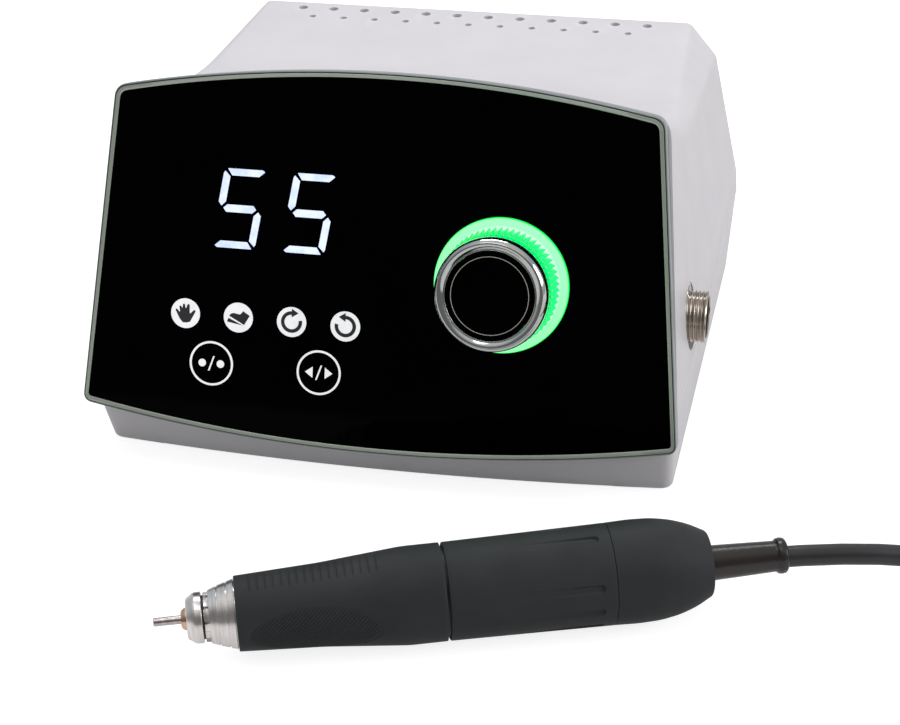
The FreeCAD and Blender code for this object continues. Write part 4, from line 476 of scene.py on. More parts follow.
def join_surface(tree, principled, tone, rough, height, depth):
    """Join a tone, a roughness and a height to a shader; the height's depth is in mm."""
    links = {"Height": height, "Distance": depth / 1000, "Strength": 1.0}
    tree.links.new(tone, principled.inputs["Base Color"])
    tree.links.new(rough, principled.inputs["Roughness"])
    tree.links.new(add(tree, "ShaderNodeBump", links).outputs["Normal"], principled.inputs["Normal"])


def seat_coordinates(tree, place, seat):
    """Object coordinates in a seat's own frame, in metres."""
    origin, euler = seat.matrix_euler()
    moved = add(tree, "ShaderNodeVectorMath", {0: place, 1: tuple(origin)}, operation="SUBTRACT")
    links = {"Vector": moved.outputs["Vector"], "Rotation": tuple(euler)}
    return add(tree, "ShaderNodeVectorRotate", links, rotation_type="EULER_XYZ").outputs["Vector"]


def moulded(name, colour, dark, gloss=0.45, grains=2600.0, depth=0.02, change=0.12, worn=None, **shader):
    """Moulded plastic or rubber: fine grain, uneven gloss, a second tone and edges rubbed lighter."""
    material, tree, principled, place = start_material(name, **shader)
    grain = group_node(tree, GRAIN, {"Vector": place, "Grains per metre": grains, "Unevenness": 0.25})
    marks = group_node(tree, HANDLING, {"Vector": place, "Gloss": gloss, "Change": change})
    tone = ramp(tree, grain["Tone"], (0.3, dark), (0.7, colour))
    if worn is not None:
        tone = mix(tree, marks["Worn edge"], tone, shown(worn))
    join_surface(tree, principled, tone, marks["Roughness"], grain["Height"], depth)
    return material


def metal(name, colour, streak, seat=None, gloss=0.25, change=0.15, depth=0.004, lines=6000.0):
    """Turned or plated metal: streaks and fine marks round its own axis, and smudged gloss."""
    material, tree, principled, place = start_material(name, Metallic=1.0)
    local = place if seat is None else seat_coordinates(tree, place, seat)
    marks = group_node(tree, TURNING, {"Vector": local, "Lines per metre": lines})
    smudges = {"Vector": place, "Gloss": gloss, "Change": change, "Smudge size": 120.0}
    hands = group_node(tree, HANDLING, smudges)
    tone = ramp(tree, marks["Streaks"], (0.3, streak), (0.7, colour))
    join_surface(tree, principled, tone, hands["Roughness"], marks["Height"], depth)
    return material


def glowing(tree, principled, tone, glow):
    """Join a tone to a shader's own colour and to its glow."""
    for socket in ("Base Color", "Emission Color"):
        tree.links.new(tone, principled.inputs[socket])
    principled.inputs["Emission Strength"].default_value = glow
    principled.inputs["Roughness"].default_value = LAMP_GLOSS


LAMP_GLOSS = 0.3


def lit(name, glow, stops, seat=None):
    """A lamp-lit plastic that glows: stops are shares of a soft cloud, or radii in mm round a seat."""
    material, tree, principled, place = start_material(name, Specular_IOR_Level=0.15)
    if seat is None:
        tone = ramp(tree, noise(tree, place, 300.0), *stops)
    else:
        local = seat_coordinates(tree, place, seat)
        flat = add(tree, "ShaderNodeVectorMath", {0: local, 1: (0, 1, 1)}, operation="MULTIPLY")
        reach = add(tree, "ShaderNodeVectorMath", {0: flat.outputs["Vector"]}, operation="LENGTH")
        low, high = stops[0][0], stops[-1][0]
        share = share_between(tree, reach.outputs["Value"], low / 1000, high / 1000)
        tone = ramp(tree, share, *(((r - low) / (high - low), colour) for r, colour in stops))
    glowing(tree, principled, tone, glow)
    return material


def ribbed_glow_painted_shade(name, glow, seat, ribs, foot, crest, side, valley_highlight):
    """Glow of a ribbed skirt with painted light and shade: the valleys are painted paler towards the foot as
    a highlight, and one side of a rib is painted deeper, as shade.

    A rib's share is the fraction of (angle / 360) * ribs; foot is the pair of heights, in mm, over
    which the painted highlight in the valleys ends.
    """
    material, tree, principled, place = start_material(name, Specular_IOR_Level=0.03)
    parts = add(tree, "ShaderNodeSeparateXYZ", {"Vector": seat_coordinates(tree, place, seat)}).outputs
    angle = maths(tree, "ARCTAN2", maths(tree, "MULTIPLY", parts["Y"], -1.0), parts["Z"])
    turns = maths(tree, "MULTIPLY", angle, ribs / (2 * math.pi))
    share = add(tree, "ShaderNodeMath", {0: turns}, operation="FRACT").outputs["Value"]
    # Painted highlight: the valleys pale, and the ribs' sides painted darker as shade.
    pale = ramp(
        tree, share, (0.0, valley_highlight), (0.1, side), (0.2, crest), (0.5, crest), (0.8, side), (1.0, valley_highlight)
    )
    # Painted shade on the ribs' sides, without the valleys' highlight.
    plain = ramp(tree, share, (0.0, side), (0.3, crest), (0.65, crest), (1.0, side))
    rise = share_between(tree, parts["X"], foot[0] / 1000, foot[1] / 1000)
    glowing(tree, principled, mix(tree, rise, pale, plain), glow)
    return material


# finishes
SHELL_GREY = moulded(
    "case_shell", (221, 218, 221), (216, 213, 217), gloss=0.42, grains=2400.0, depth=0.03, change=0.07,
    worn=(229, 227, 230),
)
RUBBER = moulded("foot_rubber", (38, 38, 39), (28, 28, 29), gloss=0.75, grains=1500.0, depth=0.05)
GLASS_BLACK = moulded(
    "panel_glass", (2, 2, 3), (1, 1, 2), gloss=0.05, grains=800.0, depth=0.0004, change=0.03,
    Specular_IOR_Level=0.02,
)
BLACK_PLASTIC = moulded("black_moulding", (40, 40, 42), (30, 30, 32), gloss=0.5, worn=(70, 70, 72))
CHROME = metal("chrome", (196, 199, 196), (190, 193, 190), gloss=0.1, change=0.04, depth=0.0002)
BEZEL_PLATING = moulded(
    "bezel_plating", (180, 188, 176), (172, 180, 168), gloss=0.26, grains=800.0, depth=0.0004, change=0.04,
    Metallic=0.4,
)
# The bezel's outer side: a darker, duller copy of its plating, as painted shade.
BEZEL_SIDE_SHADED = moulded(
    "bezel_side_shaded", (140, 148, 147), (132, 140, 139), gloss=0.3, grains=800.0, depth=0.0004, change=0.04,
    Metallic=0.25,
)
GRIP_BLACK = moulded(
    "grip_coating", (52, 54, 55), (44, 47, 48), gloss=0.6, grains=4200.0, depth=0.03,
    worn=(72, 73, 74), Specular_IOR_Level=0.2,
)
STEEL = metal("turned_steel", (240, 236, 234), (216, 210, 207), HAND, gloss=0.27, change=0.08, depth=0.002)
BRONZE = metal("chuck_bronze", (228, 192, 168), (206, 168, 142), HAND, gloss=0.3)
SHANK_STEEL = metal("shank_steel", (206, 198, 194), (170, 160, 156), HAND, gloss=0.2)
NICKEL = metal(
    "socket_nickel", (206, 198, 188), (150, 138, 126), SOCKET, gloss=0.2, depth=0.0006, lines=3000.0,
)
PLUG_NICKEL = metal("plug_nickel", (206, 200, 192), (160, 152, 142), PLUG, gloss=0.2, lines=3000.0)
BRASS = metal("contact_brass", (214, 176, 104), (176, 136, 70), gloss=0.25)
ZINC = metal("zinc_screws", (190, 190, 192), (150, 150, 152), gloss=0.3)
PLATE_PAINT = moulded("rear_plate_paint", (206, 204, 210), (198, 196, 202), gloss=0.4, grains=1500.0)
RELIEF_BLACK = moulded(
    "strain_relief", (46, 39, 36), (32, 27, 25), gloss=0.26, grains=900.0, depth=0.05, change=0.3,
    worn=(96, 86, 78),
)
CORD_BLACK = moulded("cord_sheath", (46, 46, 48), (34, 34, 35), gloss=0.4, grains=1800.0, depth=0.03)
BOARD_GREEN = moulded("circuit_board", (28, 96, 58), (20, 78, 46), gloss=0.35)
LABEL_INK = moulded("icon_ink", (52, 52, 55), (42, 42, 45), gloss=0.4, depth=0.002)
LINE_GREY = moulded("cap_line", (186, 184, 172), (176, 174, 162), gloss=0.35, depth=0.002)
# Near-black tone for rings set into gaps and grooves where only shade falls: painted shade.
PAINTED_GAP_SHADE = moulded("painted_gap_shade", (16, 18, 17), (10, 12, 11), gloss=0.5)
SOCKET_BROWN = moulded("socket_inside", (92, 68, 46), (58, 42, 30), gloss=0.5)
WINDING = moulded("core_wrap", (196, 158, 66), (170, 128, 48), gloss=0.3, grains=700.0, depth=0.1)
DIGIT_LIGHT = lit("digit_light", 0.72, ((0.3, (190, 206, 246)), (0.6, (216, 226, 250))))
ICON_WHITE = lit("icon_white", 0.42, ((0.3, (240, 241, 244)), (0.6, (248, 248, 250))))
# Halo glow, pale green with a saturated outer rim; the near-white band inside 17.4 mm is a painted highlight
# at the skirt's foot.
HALO_GLOW_AND_HIGHLIGHT = lit(
    "halo_glow_and_highlight", 0.66,
    (
        (16.2, (232, 255, 236)), (17.4, (216, 255, 222)), (18.0, (160, 255, 188)),
        (19.9, (156, 255, 182)), (20.15, (20, 255, 92)), (20.5, (0, 214, 60)),
    ),
    KNOB,
)
# Skirt glow with painted shade on one side of each rib and a painted highlight in the valleys near the foot.
SKIRT_GREEN = ribbed_glow_painted_shade(
    "skirt_green", 0.6, KNOB, 60, (2.0, 7.0), (0, 255, 124), (0, 214, 92), (150, 255, 190),
)
FUSE_GLASS = moulded("fuse_tube", (214, 222, 220), (196, 206, 204), gloss=0.08, depth=0.002, change=0.03)
ALUMINIUM = metal("cooling_fins", (200, 202, 204), (176, 178, 180), gloss=0.35)
IRON = metal("magnet_iron", (120, 118, 116), (92, 90, 88), HAND, gloss=0.4)
TIE_BLACK = moulded("tie_strap", (30, 30, 31), (22, 22, 23), gloss=0.6, grains=1400.0, depth=0.06)
BEAD_METAL = metal("bead_metal", (228, 210, 206), (200, 180, 176), gloss=0.2)


# cord
CORD_RADIUS = 3.05
COIL = np.array((208.5, 34.2))
COIL_RADII = (39.6, 33.5, 27.4, 27.4, 33.5, 39.6)
COIL_LEVELS = (3.85, 9.95)
COIL_STEPS = 18


def coil_turns():
    """Control points of the coil's turns, anticlockwise: three inwards below, three outwards above.

    Each turn keeps its radius and moves to the next one in a fifth of a turn.
    """
    start = -67.0 / 360.0
    total = 6.0 - start
    turns = np.arange(1.0 / COIL_STEPS, total - 0.5 / COIL_STEPS, 1.0 / COIL_STEPS)
    knots = np.repeat(np.arange(1, 6), 2) * total / 6.0 + np.tile((-0.1, 0.1), 5)
    radius = np.interp(turns, knots, np.repeat(COIL_RADII, 2)[1:-1])
    level = np.interp(turns, (total / 2 - 0.12, total / 2 + 0.12), COIL_LEVELS)
    angle = 2 * math.pi * (turns + start)
    reach = radius / math.cos(math.pi / COIL_STEPS)
    return np.stack((COIL[0] + reach * np.cos(angle), COIL[1] + reach * np.sin(angle), level), 1)


def make_cord():
    """The cord as one smooth spline: out of the handpiece, round its coil and on to the plug."""
    lead = [
        HAND.at(74, 0, 0), HAND.at(118, 0, 0),
        np.array((190.8, -16.3, 3.05)), np.array((223.97, -2.25, 3.85)),
    ]
    tail = [
        np.array((248.1, 34.2, 9.95)), np.array((248.9, 56.0, 9.05)), np.array((249.6, 82.0, 3.05)),
        PLUG.at(58, 0, 0), PLUG.at(33, 0, 0),
    ]
    points = metres(np.concatenate((lead, coil_turns(), tail)))
    data = bpy.data.curves.new("cord", "CURVE")
    data.dimensions = "3D"
    data.bevel_depth = CORD_RADIUS / 1000
    data.bevel_resolution = 6
    data.resolution_u = 6
    data.use_fill_caps = True
    line = data.splines.new("NURBS")
    line.points.add(len(points) - 1)
    line.points.foreach_set("co", np.c_[points, np.ones(len(points))].ravel())
    line.order_u = 3
    line.use_endpoint_u = True
    return new_object(
        "cord", data, "handpiece", CORD_BLACK, ("cord_lead", "cord_coil", "cord_tail")
    )


cord = make_cord()


# case
WALL = 2.5
CASE_REAR = 167.0
PARTING = 30.0
UNDERSIDE = 0.8
FOOT_UNDERSIDE = 0.3
SKIRT_TOP = 21.8
HOOD_FOOT = 90.0
HOOD_BOW = 6.8
BEZEL_BACK = 6.0


def panel_plane(height, depth):
    """How far back the plane behind the glass by a depth lies, at a height."""
    return (height - PANEL_FOOT) * math.tan(LEAN) + depth / math.cos(LEAN)


def bowed_loop(half_a, y_a, bow_a, half_b, y_b, bow_b, radius_a, radius_b, edge=22, corner=7):
    """Closed outline of a four-sided form, anticlockwise from the middle of its first edge.

    The first and last edges bow outwards as parabolas, the corners are quadratic curves, and any
    argument may be a column of values, which gives one outline for each row.
    """
    values = (half_a, y_a, bow_a, half_b, y_b, bow_b, radius_a, radius_b)
    values = np.broadcast_arrays(*(np.asarray(v, float).reshape(-1, 1) for v in values))
    half_a, y_a, bow_a, half_b, y_b, bow_b, radius_a, radius_b = values
    run = np.hypot(half_b - half_a, y_b - y_a)
    up = np.stack(((half_b - half_a) / run, (y_b - y_a) / run), -1)

    def edge_way(slope):
        long = np.hypot(1, slope)
        return np.stack((-1 / long, slope / long), -1)

    way_a = edge_way(-2 * bow_a / half_a)
    way_b = edge_way(2 * bow_b / half_b)
    pieces = []
    starts = []
    for place, first, second, radius in (
        (np.stack((half_a, y_a), -1), way_a, up, radius_a),
        (np.stack((half_b, y_b), -1), -up, way_b, radius_b),
    ):
        cosine = (first * second).sum(-1)
        half_turn = (math.pi - np.arccos(np.clip(cosine, -1, 1))) / 2
        setback = (radius * np.tan(half_turn))[..., None]
        t = np.linspace(0, 1, corner)[None, :, None]
        a = place + first * setback
        b = place + second * setback
        pieces.append((1 - t) ** 2 * a + 2 * t * (1 - t) * place + t ** 2 * b)
        starts.append((a, b))
    share = np.linspace(0, 1, edge, endpoint=False)[None, :]
    x = share * starts[0][0][..., 0]
    first_edge = np.stack((x, y_a - bow_a * (1 - (x / half_a) ** 2)), -1)
    s = np.linspace(0, 1, 6)[1:-1][None, :, None]
    flank = starts[0][1] * (1 - s) + starts[1][0] * s
    x = (1 - share[:, 1:]) * starts[1][1][..., 0]
    last_edge = np.stack((x, y_b + bow_b * (1 - (x / half_b) ** 2)), -1)
    middle = np.stack((0 * y_b, y_b + bow_b), -1)
    right = np.concatenate((first_edge, pieces[0], flank, pieces[1], last_edge), 1)
    left = right[:, :0:-1] * (-1, 1)
    return np.concatenate((right, middle, left), 1)


def case_front(height):
    """Front corners of the lower shell and the bow of its front, at heights."""
    low = np.interp(height, (UNDERSIDE, SKIRT_TOP), (13.4, panel_plane(SKIRT_TOP, BEZEL_BACK)))
    corner = np.where(height > SKIRT_TOP, panel_plane(height, BEZEL_BACK), low)
    bow = np.interp(height, (UNDERSIDE, 14.0, SKIRT_TOP), (4.9, 5.63, 0.0))
    return corner, bow


def lower_grid(levels, insets, inward, rear):
    """Rows of the lower shell's outline, drawn inward by a wall and by a rounding."""
    levels = np.asarray(levels, float)
    inset = np.asarray(insets, float) + inward
    share = (levels - UNDERSIDE) / (PARTING - UNDERSIDE)
    corner, bow = case_front(levels)
    loop = bowed_loop(
        89.8 + 1.5 * share - inset, corner + inset, bow, 91.6 + 2.4 * share - inset, rear - inset, 0,
        np.maximum(4.2 - inset, 1.0), np.maximum(4.0 - inset, 1.0),
    )
    high = np.broadcast_to(levels[:, None, None], loop.shape[:2] + (1,))
    return np.concatenate((loop, high), 2)


def box_mesh(low, high):
    """A plain block between two corners, for carving."""
    (x0, y0, z0), (x1, y1, z1) = low, high
    ring = np.array(((x0, y0), (x1, y0), (x1, y1), (x0, y1)), float)
    rows = np.stack([np.c_[ring, np.full(4, z)] for z in (z0, z1)])
    return grid_mesh("block", [rows])


def panel_loop(offset, **steps):
    """The glass's outline on the panel, drawn outward by an offset."""
    return bowed_loop(
        90.5 + offset, -offset, 8.5, 81.0 + offset, 94.4 + offset, 8.3,
        max(1.2 + offset, 0.3), max(2.8 + offset, 0.3), **steps
    )[0]


def panel_prism(offset, low, high):
    """The panel's outline as a block between two depths, for carving."""
    loop = panel_loop(offset)
    return grid_mesh("prism", [np.stack([PANEL.at(loop[:, 0], loop[:, 1], n) for n in (low, high)])])


def upright(x, y):
    """A seat whose X axis stands up at a place on the bench."""
    return Seat((x, y, 0), (0, 0, 1), (1, 0, 0))


POSTS = [(side * half, back) for side in (-1, 1) for half, back in ((84.6, 30.0), (87.1, 146.0))]


def make_lower_case():
    """The tray: skirt bowed below the panel, rounded underside, corner feet and screw bores."""
    turn = np.radians(np.linspace(0, 90, 6))
    edge = 1.1
    levels = np.concatenate((
        FOOT_UNDERSIDE + edge * (1 - np.cos(turn)),
        (6, 9, 11.5, 14, 17, 19.5, SKIRT_TOP, 25, PARTING - 0.25, PARTING - 0.05),
    ))
    insets = np.concatenate((edge * (1 - np.sin(turn)), np.zeros(9), (0.2,)))
    outer = grid_mesh("tray", [lower_grid(levels, insets, 0, CASE_REAR)])
    inner = grid_mesh("tray_inside", [lower_grid((4.5, 14, SKIRT_TOP, 31), np.zeros(4), WALL, CASE_REAR)])
    cutters = [
        inner,
        box_mesh((-72.2, -5, -1), (72.2, 180, UNDERSIDE)),
        box_mesh((-110, 30.4, -1), (110, 150.0, UNDERSIDE)),
        panel_prism(-3.4, -12.5, -5.0),
    ]
    for x, y in POSTS:
        cutters.append(rod_mesh(upright(x, y), -1, 8.0, 2.9))
    mesh = carve(outer, cutters)
    mesh.name = "case_tray"
    new_object("case_tray", mesh, "unit", SHELL_GREY, ("lower_shell",))


def upper_keys(inward, front_depth, low, rear):
    """Right-half corner points of the cover's three sections, from the joint up: (3, 4, 3)."""
    heights = np.array((low, 38.0, 107.0 - inward / 2, 112.8 - inward))
    halves = np.array((91.3, 90.6, 84.3, 83.5)) - inward
    front = np.stack((halves, panel_plane(heights, front_depth), heights), 1)
    middle = np.array((
        (92.4 - inward, HOOD_FOOT, low), (91.9 - inward, HOOD_FOOT, 38.0),
        (83.9 - inward, HOOD_FOOT, 86.6 - inward / 2), (79.4 - inward / 2, HOOD_FOOT, 92.2 - inward),
    ))
    back = np.array((
        (94.0 - inward, rear, low), (93.6 - inward, rear, 38.0),
        (84.8 - inward, rear, 80.8 - inward / 2), (75.5 - inward / 2, rear, 92.2 - inward),
    ))
    return np.stack((front, middle, back))


def cover_rows():
    """Weights of the three sections along the cover: straight, a quadratic turn, straight."""
    start, top, end = (np.array(share) for share in ((0.4, 0.6, 0), (0, 1, 0), (0, 0.65, 0.35)))
    a = np.linspace(0, 1, 9)[:, None]
    straight = (1 - a) * (1, 0, 0) + a * start
    t = np.linspace(0, 1, 12)[1:, None]
    turn = (1 - t) ** 2 * start + 2 * t * (1 - t) * top + t ** 2 * end
    b = np.linspace(0, 1, 10)[1:, None]
    back = (1 - b) * end + b * (0, 0, 1)
    return np.concatenate((straight, turn, back))


def upper_grid(inward, front_depth, low, rear, radii, edge=0.0):
    """Rows of the cover's section, from the panel's back to the rear wall, with rounded corners.

    radii gives the corners' radii at the three sections; edge rounds the rear wall's rim.
    """
    weights = cover_rows()
    keys = upper_keys(inward, front_depth, low, rear - edge)
    corners = np.einsum("rk,kcx->rcx", weights, keys)
    round_by = weights @ np.asarray(radii, float)
    bow = weights[:, :1] * HOOD_BOW * np.array((0, math.sin(LEAN), math.cos(LEAN)))
    top_right = corners[:, 3]
    slope = 2 * bow / top_right[:, :1]
    over = top_right + slope * 10 - np.array((10.0, 0, 0))
    under = corners[:, 0] - np.array((10.0, 0, 0))
    chain = np.concatenate((under[:, None], corners, over[:, None]), 1)
    before = chain[:, :-2] - corners
    after = chain[:, 2:] - corners
    before /= np.linalg.norm(before, axis=2, keepdims=True)
    after /= np.linalg.norm(after, axis=2, keepdims=True)
    half_turn = (math.pi - np.arccos(np.clip((before * after).sum(2), -1, 1))) / 2
    setback = (round_by * np.tan(half_turn))[:, :, None, None]
    t = np.linspace(0, 1, 7)[None, None, :, None]
    place = corners[:, :, None]
    a = place + before[:, :, None] * setback
    b = place + after[:, :, None] * setback
    right = ((1 - t) ** 2 * a + 2 * t * (1 - t) * place + t ** 2 * b).reshape(len(weights), -1, 3)
    last = right[:, -1]
    x = last[:, :1] * np.linspace(1, -1, 38)[None, 1:-1]
    rise = bow[:, None] * (1 - (x / top_right[:, :1]) ** 2)[..., None]
    base = top_right[:, None] * (0, 1, 1) + x[..., None] * np.array((1.0, 0, 0))
    left = right[:, ::-1] * (-1, 1, 1)
    rows = np.concatenate((right, base + rise, left), 1)
    if not edge:
        return rows
    rim = rows[-1]
    ahead = np.roll(rim, -1, 0) - np.roll(rim, 1, 0)
    outward = np.stack((ahead[:, 2], 0 * ahead[:, 0], -ahead[:, 0]), 1)
    outward /= np.linalg.norm(outward, axis=1, keepdims=True)
    turn = np.radians(np.linspace(0, 90, 7))[1:, None, None]
    rounding = rim - outward * edge * (1 - np.cos(turn)) + np.array((0, edge, 0)) * np.sin(turn)
    return np.concatenate((rows, rounding))


VENTS = [(11.12 * (i - 5.5), CASE_REAR - 6.7, 1.65) for i in range(12)]
VENTS += [(11.12 * (i - 5.0), CASE_REAR - 14.6, 1.2) for i in range(11)]


def make_upper_case():
    """The cover: hood behind the panel, soft creases, vents, socket's spot face and rear opening."""
    outer = grid_mesh("cover", [upper_grid(
        0, BEZEL_BACK, PARTING, CASE_REAR, ((0.3, 3, 20, 6), (0.3, 3, 11, 6), (0.3, 2.5, 3.5, 3.5)), edge=2.2,
    )])
    inner = grid_mesh("cover_inside", [upper_grid(
        WALL, BEZEL_BACK + WALL, PARTING - 1, CASE_REAR - WALL,
        ((0.3, 2, 15, 4), (0.3, 2, 8, 4), (0.3, 2, 2, 2)),
    )])
    cutters = [
        inner,
        panel_prism(-3.4, -12.5, -5.0),
        box_mesh((-51, CASE_REAR - 4, 37.5), (51, CASE_REAR + 1, 76.0)),
        rod_mesh(SOCKET, -5, 6, 8.5, 48),
        rod_mesh(SOCKET, 0, 6, 10.5, 64),
    ]
    cutters += [rod_mesh(upright(x, y), 88.0, 96.0, r, 20) for x, y, r in VENTS]
    boss = rod_mesh(SOCKET, -4.0, -0.4, 12.4, 48)
    mesh = carve(outer, cutters[:1])
    mesh = carve(mesh, cutters[1:], join=[boss])
    mesh.name = "case_cover"
    new_object("case_cover", mesh, "unit", SHELL_GREY, ("upper_shell",))


make_lower_case()
make_upper_case()


# panel
def round_the_panel(section):
    """Rows of a section of (offset, depth) points carried round the glass's outline."""
    rows = []
    for offset, depth in section:
        loop = panel_loop(offset, edge=48, corner=12)
        rows.append(PANEL.at(loop[:, 0], loop[:, 1], depth))
    return np.stack(rows)


def make_bezel():
    """Frame round the glass: a plated face with a ledge behind the glass, a near-black ring of painted shade
    in its groove and a side in a darker, duller copy of the plating, as painted shade.
    """
    face = (
        (-2.4, -6.0), (-2.4, -3.0), (0.12, -3.0), (0.12, 0.06), (0.2, 0.14), (1.1, 0.26), (1.18, 0.2),
        (1.2, -0.4), (1.46, -0.4), (1.47, -0.05), (1.54, 0.05), (1.66, 0.0), (1.76, -0.25), (1.8, -0.6),
        (1.8, -6.0),
    )
    # Near-black ring in the groove between face and side: painted shade.
    gap = ((1.19, -0.6), (1.19, -0.3), (1.47, -0.3), (1.47, -0.6))
    # The side takes the darker copy of the plating: painted shade.
    side = (
        (1.44, -0.6), (1.44, -0.04), (1.54, 0.08), (1.68, 0.03), (1.8, -0.22), (1.86, -0.6), (1.86, -5.9),
        (1.6, -5.9),
    )
    for name, section, finish, nodes in (
        ("bezel_gap_shade", gap, PAINTED_GAP_SHADE, ()), ("bezel_side_shaded", side, BEZEL_SIDE_SHADED, ()),
        ("bezel", face, BEZEL_PLATING, ("front_bezel",)),
    ):
        ring = grid_mesh(name, [round_the_panel(section)], wrap_rows=True, crease=40)
        new_object(name, ring, "unit", finish, nodes)


def make_glass():
    """Black glass that fills the bezel, with a small round on its front edge."""
    section = ((0.1, -3.0), (0.1, -0.2), (0.07, -0.08), (0.0, -0.01), (-0.1, 0.0))
    mesh = grid_mesh("dark_glass", [round_the_panel(section)], crease=30)
    new_object("dark_glass", mesh, "unit", GLASS_BLACK, ("front_glass",))


def outline(points, radii=0.0, steps=5):
    """A closed outline in the plane with its corners rounded; it starts in the middle of an edge."""
    points = np.asarray(points, float)
    middle = (points[:1] + points[-1:]) / 2
    radii = np.broadcast_to(np.asarray(radii, float), len(points))
    whole = np.concatenate((middle, points, middle))
    return rounded(whole, np.concatenate(((0,), radii, (0,))), steps)[:-1]


def circle(radius, angle):
    """Points round a circle at angles."""
    return radius * np.stack((np.cos(angle), np.sin(angle)), 1)


def flat_marks(name, outlines, low, high, material):
    """Thin plates on the panel, one for each closed outline of (u, v) points."""
    sheets = [np.stack([PANEL.at(o[:, 0], o[:, 1], n) for n in (low, high)]) for o in outlines]
    mesh = grid_mesh(name, sheets, crease=30)
    new_object(name, mesh, "unit", material)


def flat_ring(name, centres, outer, inner, low, high, material):
    """Thin flat rings on the panel round their centres."""
    angle = turn_steps(72)
    sheets = []
    rows = ((outer, low), (outer, high), (inner, high), (inner, low))
    for u, v in centres:
        sheets.append(np.stack([
            PANEL.at(u + r * np.cos(angle), v + r * np.sin(angle), n) for r, n in rows
        ]))
    mesh = grid_mesh(name, sheets, wrap_rows=True, crease=30)
    new_object(name, mesh, "unit", material)


# The two digits: lit bars with cut ends, leaning to the right
DIGIT_LEAN = 0.165
DIGIT_CENTRES = ((-43.1, 61.5), (-21.5, 61.5))
TOP_BAR = ((-5.9, 12.05), (4.9, 12.05), (5.75, 11.5), (4.2, 9.95), (-4.2, 9.95))
SIDE_BAR = ((-6.55, 11.25), (-4.7, 9.6), (-4.7, 1.95), (-5.85, 0.65), (-6.9, 1.85), (-6.9, 10.6))
MIDDLE_BAR = ((-5.15, 0.05), (-4.05, 1.15), (4.05, 1.15), (5.15, -0.05), (4.05, -1.15), (-4.05, -1.15))


def lit_digits():
    """Bars of the two fives: top, upper left, middle, and the first two turned half round."""
    bars = [np.array(bar) for bar in (TOP_BAR, SIDE_BAR, MIDDLE_BAR)]
    bars += [-bars[0], -bars[1]]
    places = []
    for u, v in DIGIT_CENTRES:
        for bar in bars:
            shape = outline(bar, 0.12, 3)
            places.append(np.stack((u + shape[:, 0] + DIGIT_LEAN * shape[:, 1], v + shape[:, 1]), 1))
    flat_marks("digits", places, 0.0, 0.06, DIGIT_LIGHT)


HAND_SHAPE = (
    (0.27, -2.95), (-0.85, -2.95), (-1.9, -1.75), (-3.3, 0.9), (-3.05, 1.3), (-2.65, 1.1), (-1.72, 0.05),
    (-2.03, 2.0), (-1.78, 2.4), (-1.45, 2.2), (-1.03, 1.45), (-0.85, 2.85), (-0.53, 3.13), (-0.22, 2.8),
    (-0.03, 1.65), (0.22, 1.7), (0.6, 2.85), (0.98, 3.1), (1.32, 2.75), (1.4, -0.15), (2.6, 1.1),
    (3.07, 1.28), (3.3, 0.9), (2.85, -0.1), (1.5, -2.62),
)
SHOE_SHAPE = (
    (-3.0, 0.35), (-2.45, 1.05), (-1.6, 1.33), (0.25, 1.0), (0.65, 1.15), (1.4, 2.1), (3.5, 0.8),
    (1.8, -2.15),
)
PEDAL_SHAPE = ((-3.15, -0.3), (1.4, -2.35), (-3.5, -1.5), (-3.55, -1.1))


def turning_arrow(hand):
    """An open ring with an arrow head at its top; hand is 1 for clockwise and -1 for the other way."""
    angle = np.radians(np.linspace(90.0, 372.0, 44))
    head = np.array(((0.0, 1.45), (2.15, 2.85), (0.0, 4.2)))
    return np.concatenate((circle(3.38, angle), circle(2.26, angle[::-1]), head)) * (hand, 1)


ICON_PLACES = [(-59.5 + 16.74 * i, 28.3) for i in range(4)]
KEY_PLACES = ((-51.0, 13.4), (-17.1, 13.4))


def panel_marks():
    """Lit discs with their pictograms, the touch keys' rings and plain marks inside these."""
    angle = turn_steps(64)
    discs = [circle(4.6, angle) + place for place in ICON_PLACES]
    flat_marks("icon_discs", discs, 0.0, 0.05, ICON_WHITE)
    places = [np.array(place) for place in ICON_PLACES]
    signs = [
        outline(HAND_SHAPE, 0.22, 4) * 0.97 + places[0],
        outline(SHOE_SHAPE, (0.2, 0.5, 0.5, 0.5, 0.3, 0.1, 0.1, 0.1), 4) + places[1] + (0.1, 0),
        outline(PEDAL_SHAPE, 0.06, 3) + places[1] + (0.1, 0),
        turning_arrow(1) * 0.98 + places[2],
        turning_arrow(-1) * 0.98 + places[3],
    ]
    flat_marks("pictograms", signs, 0.045, 0.09, LABEL_INK)
    flat_ring("key_circles", KEY_PLACES, 6.9, 6.25, 0.0, 0.05, ICON_WHITE)
    slash = np.array(((-1.05, -2.3), (-0.55, -2.3), (1.05, 2.3), (0.55, 2.3)))
    dot = circle(1.2, angle[::3])
    arrow = np.array(((-4.3, 0.0), (-1.9, 1.75), (-1.9, -1.75)))
    left, right = (np.array(place) for place in KEY_PLACES)
    marks = [
        slash + left, dot + left + (-2.9, 0), dot + left + (2.9, 0),
        slash + right, arrow + right, -arrow + right,
    ]
    flat_marks("key_marks", marks, 0.0, 0.05, ICON_WHITE)


make_bezel()
make_glass()
lit_digits()
panel_marks()


# knob
FLUTES = 60
FLUTE_COLUMNS = 8


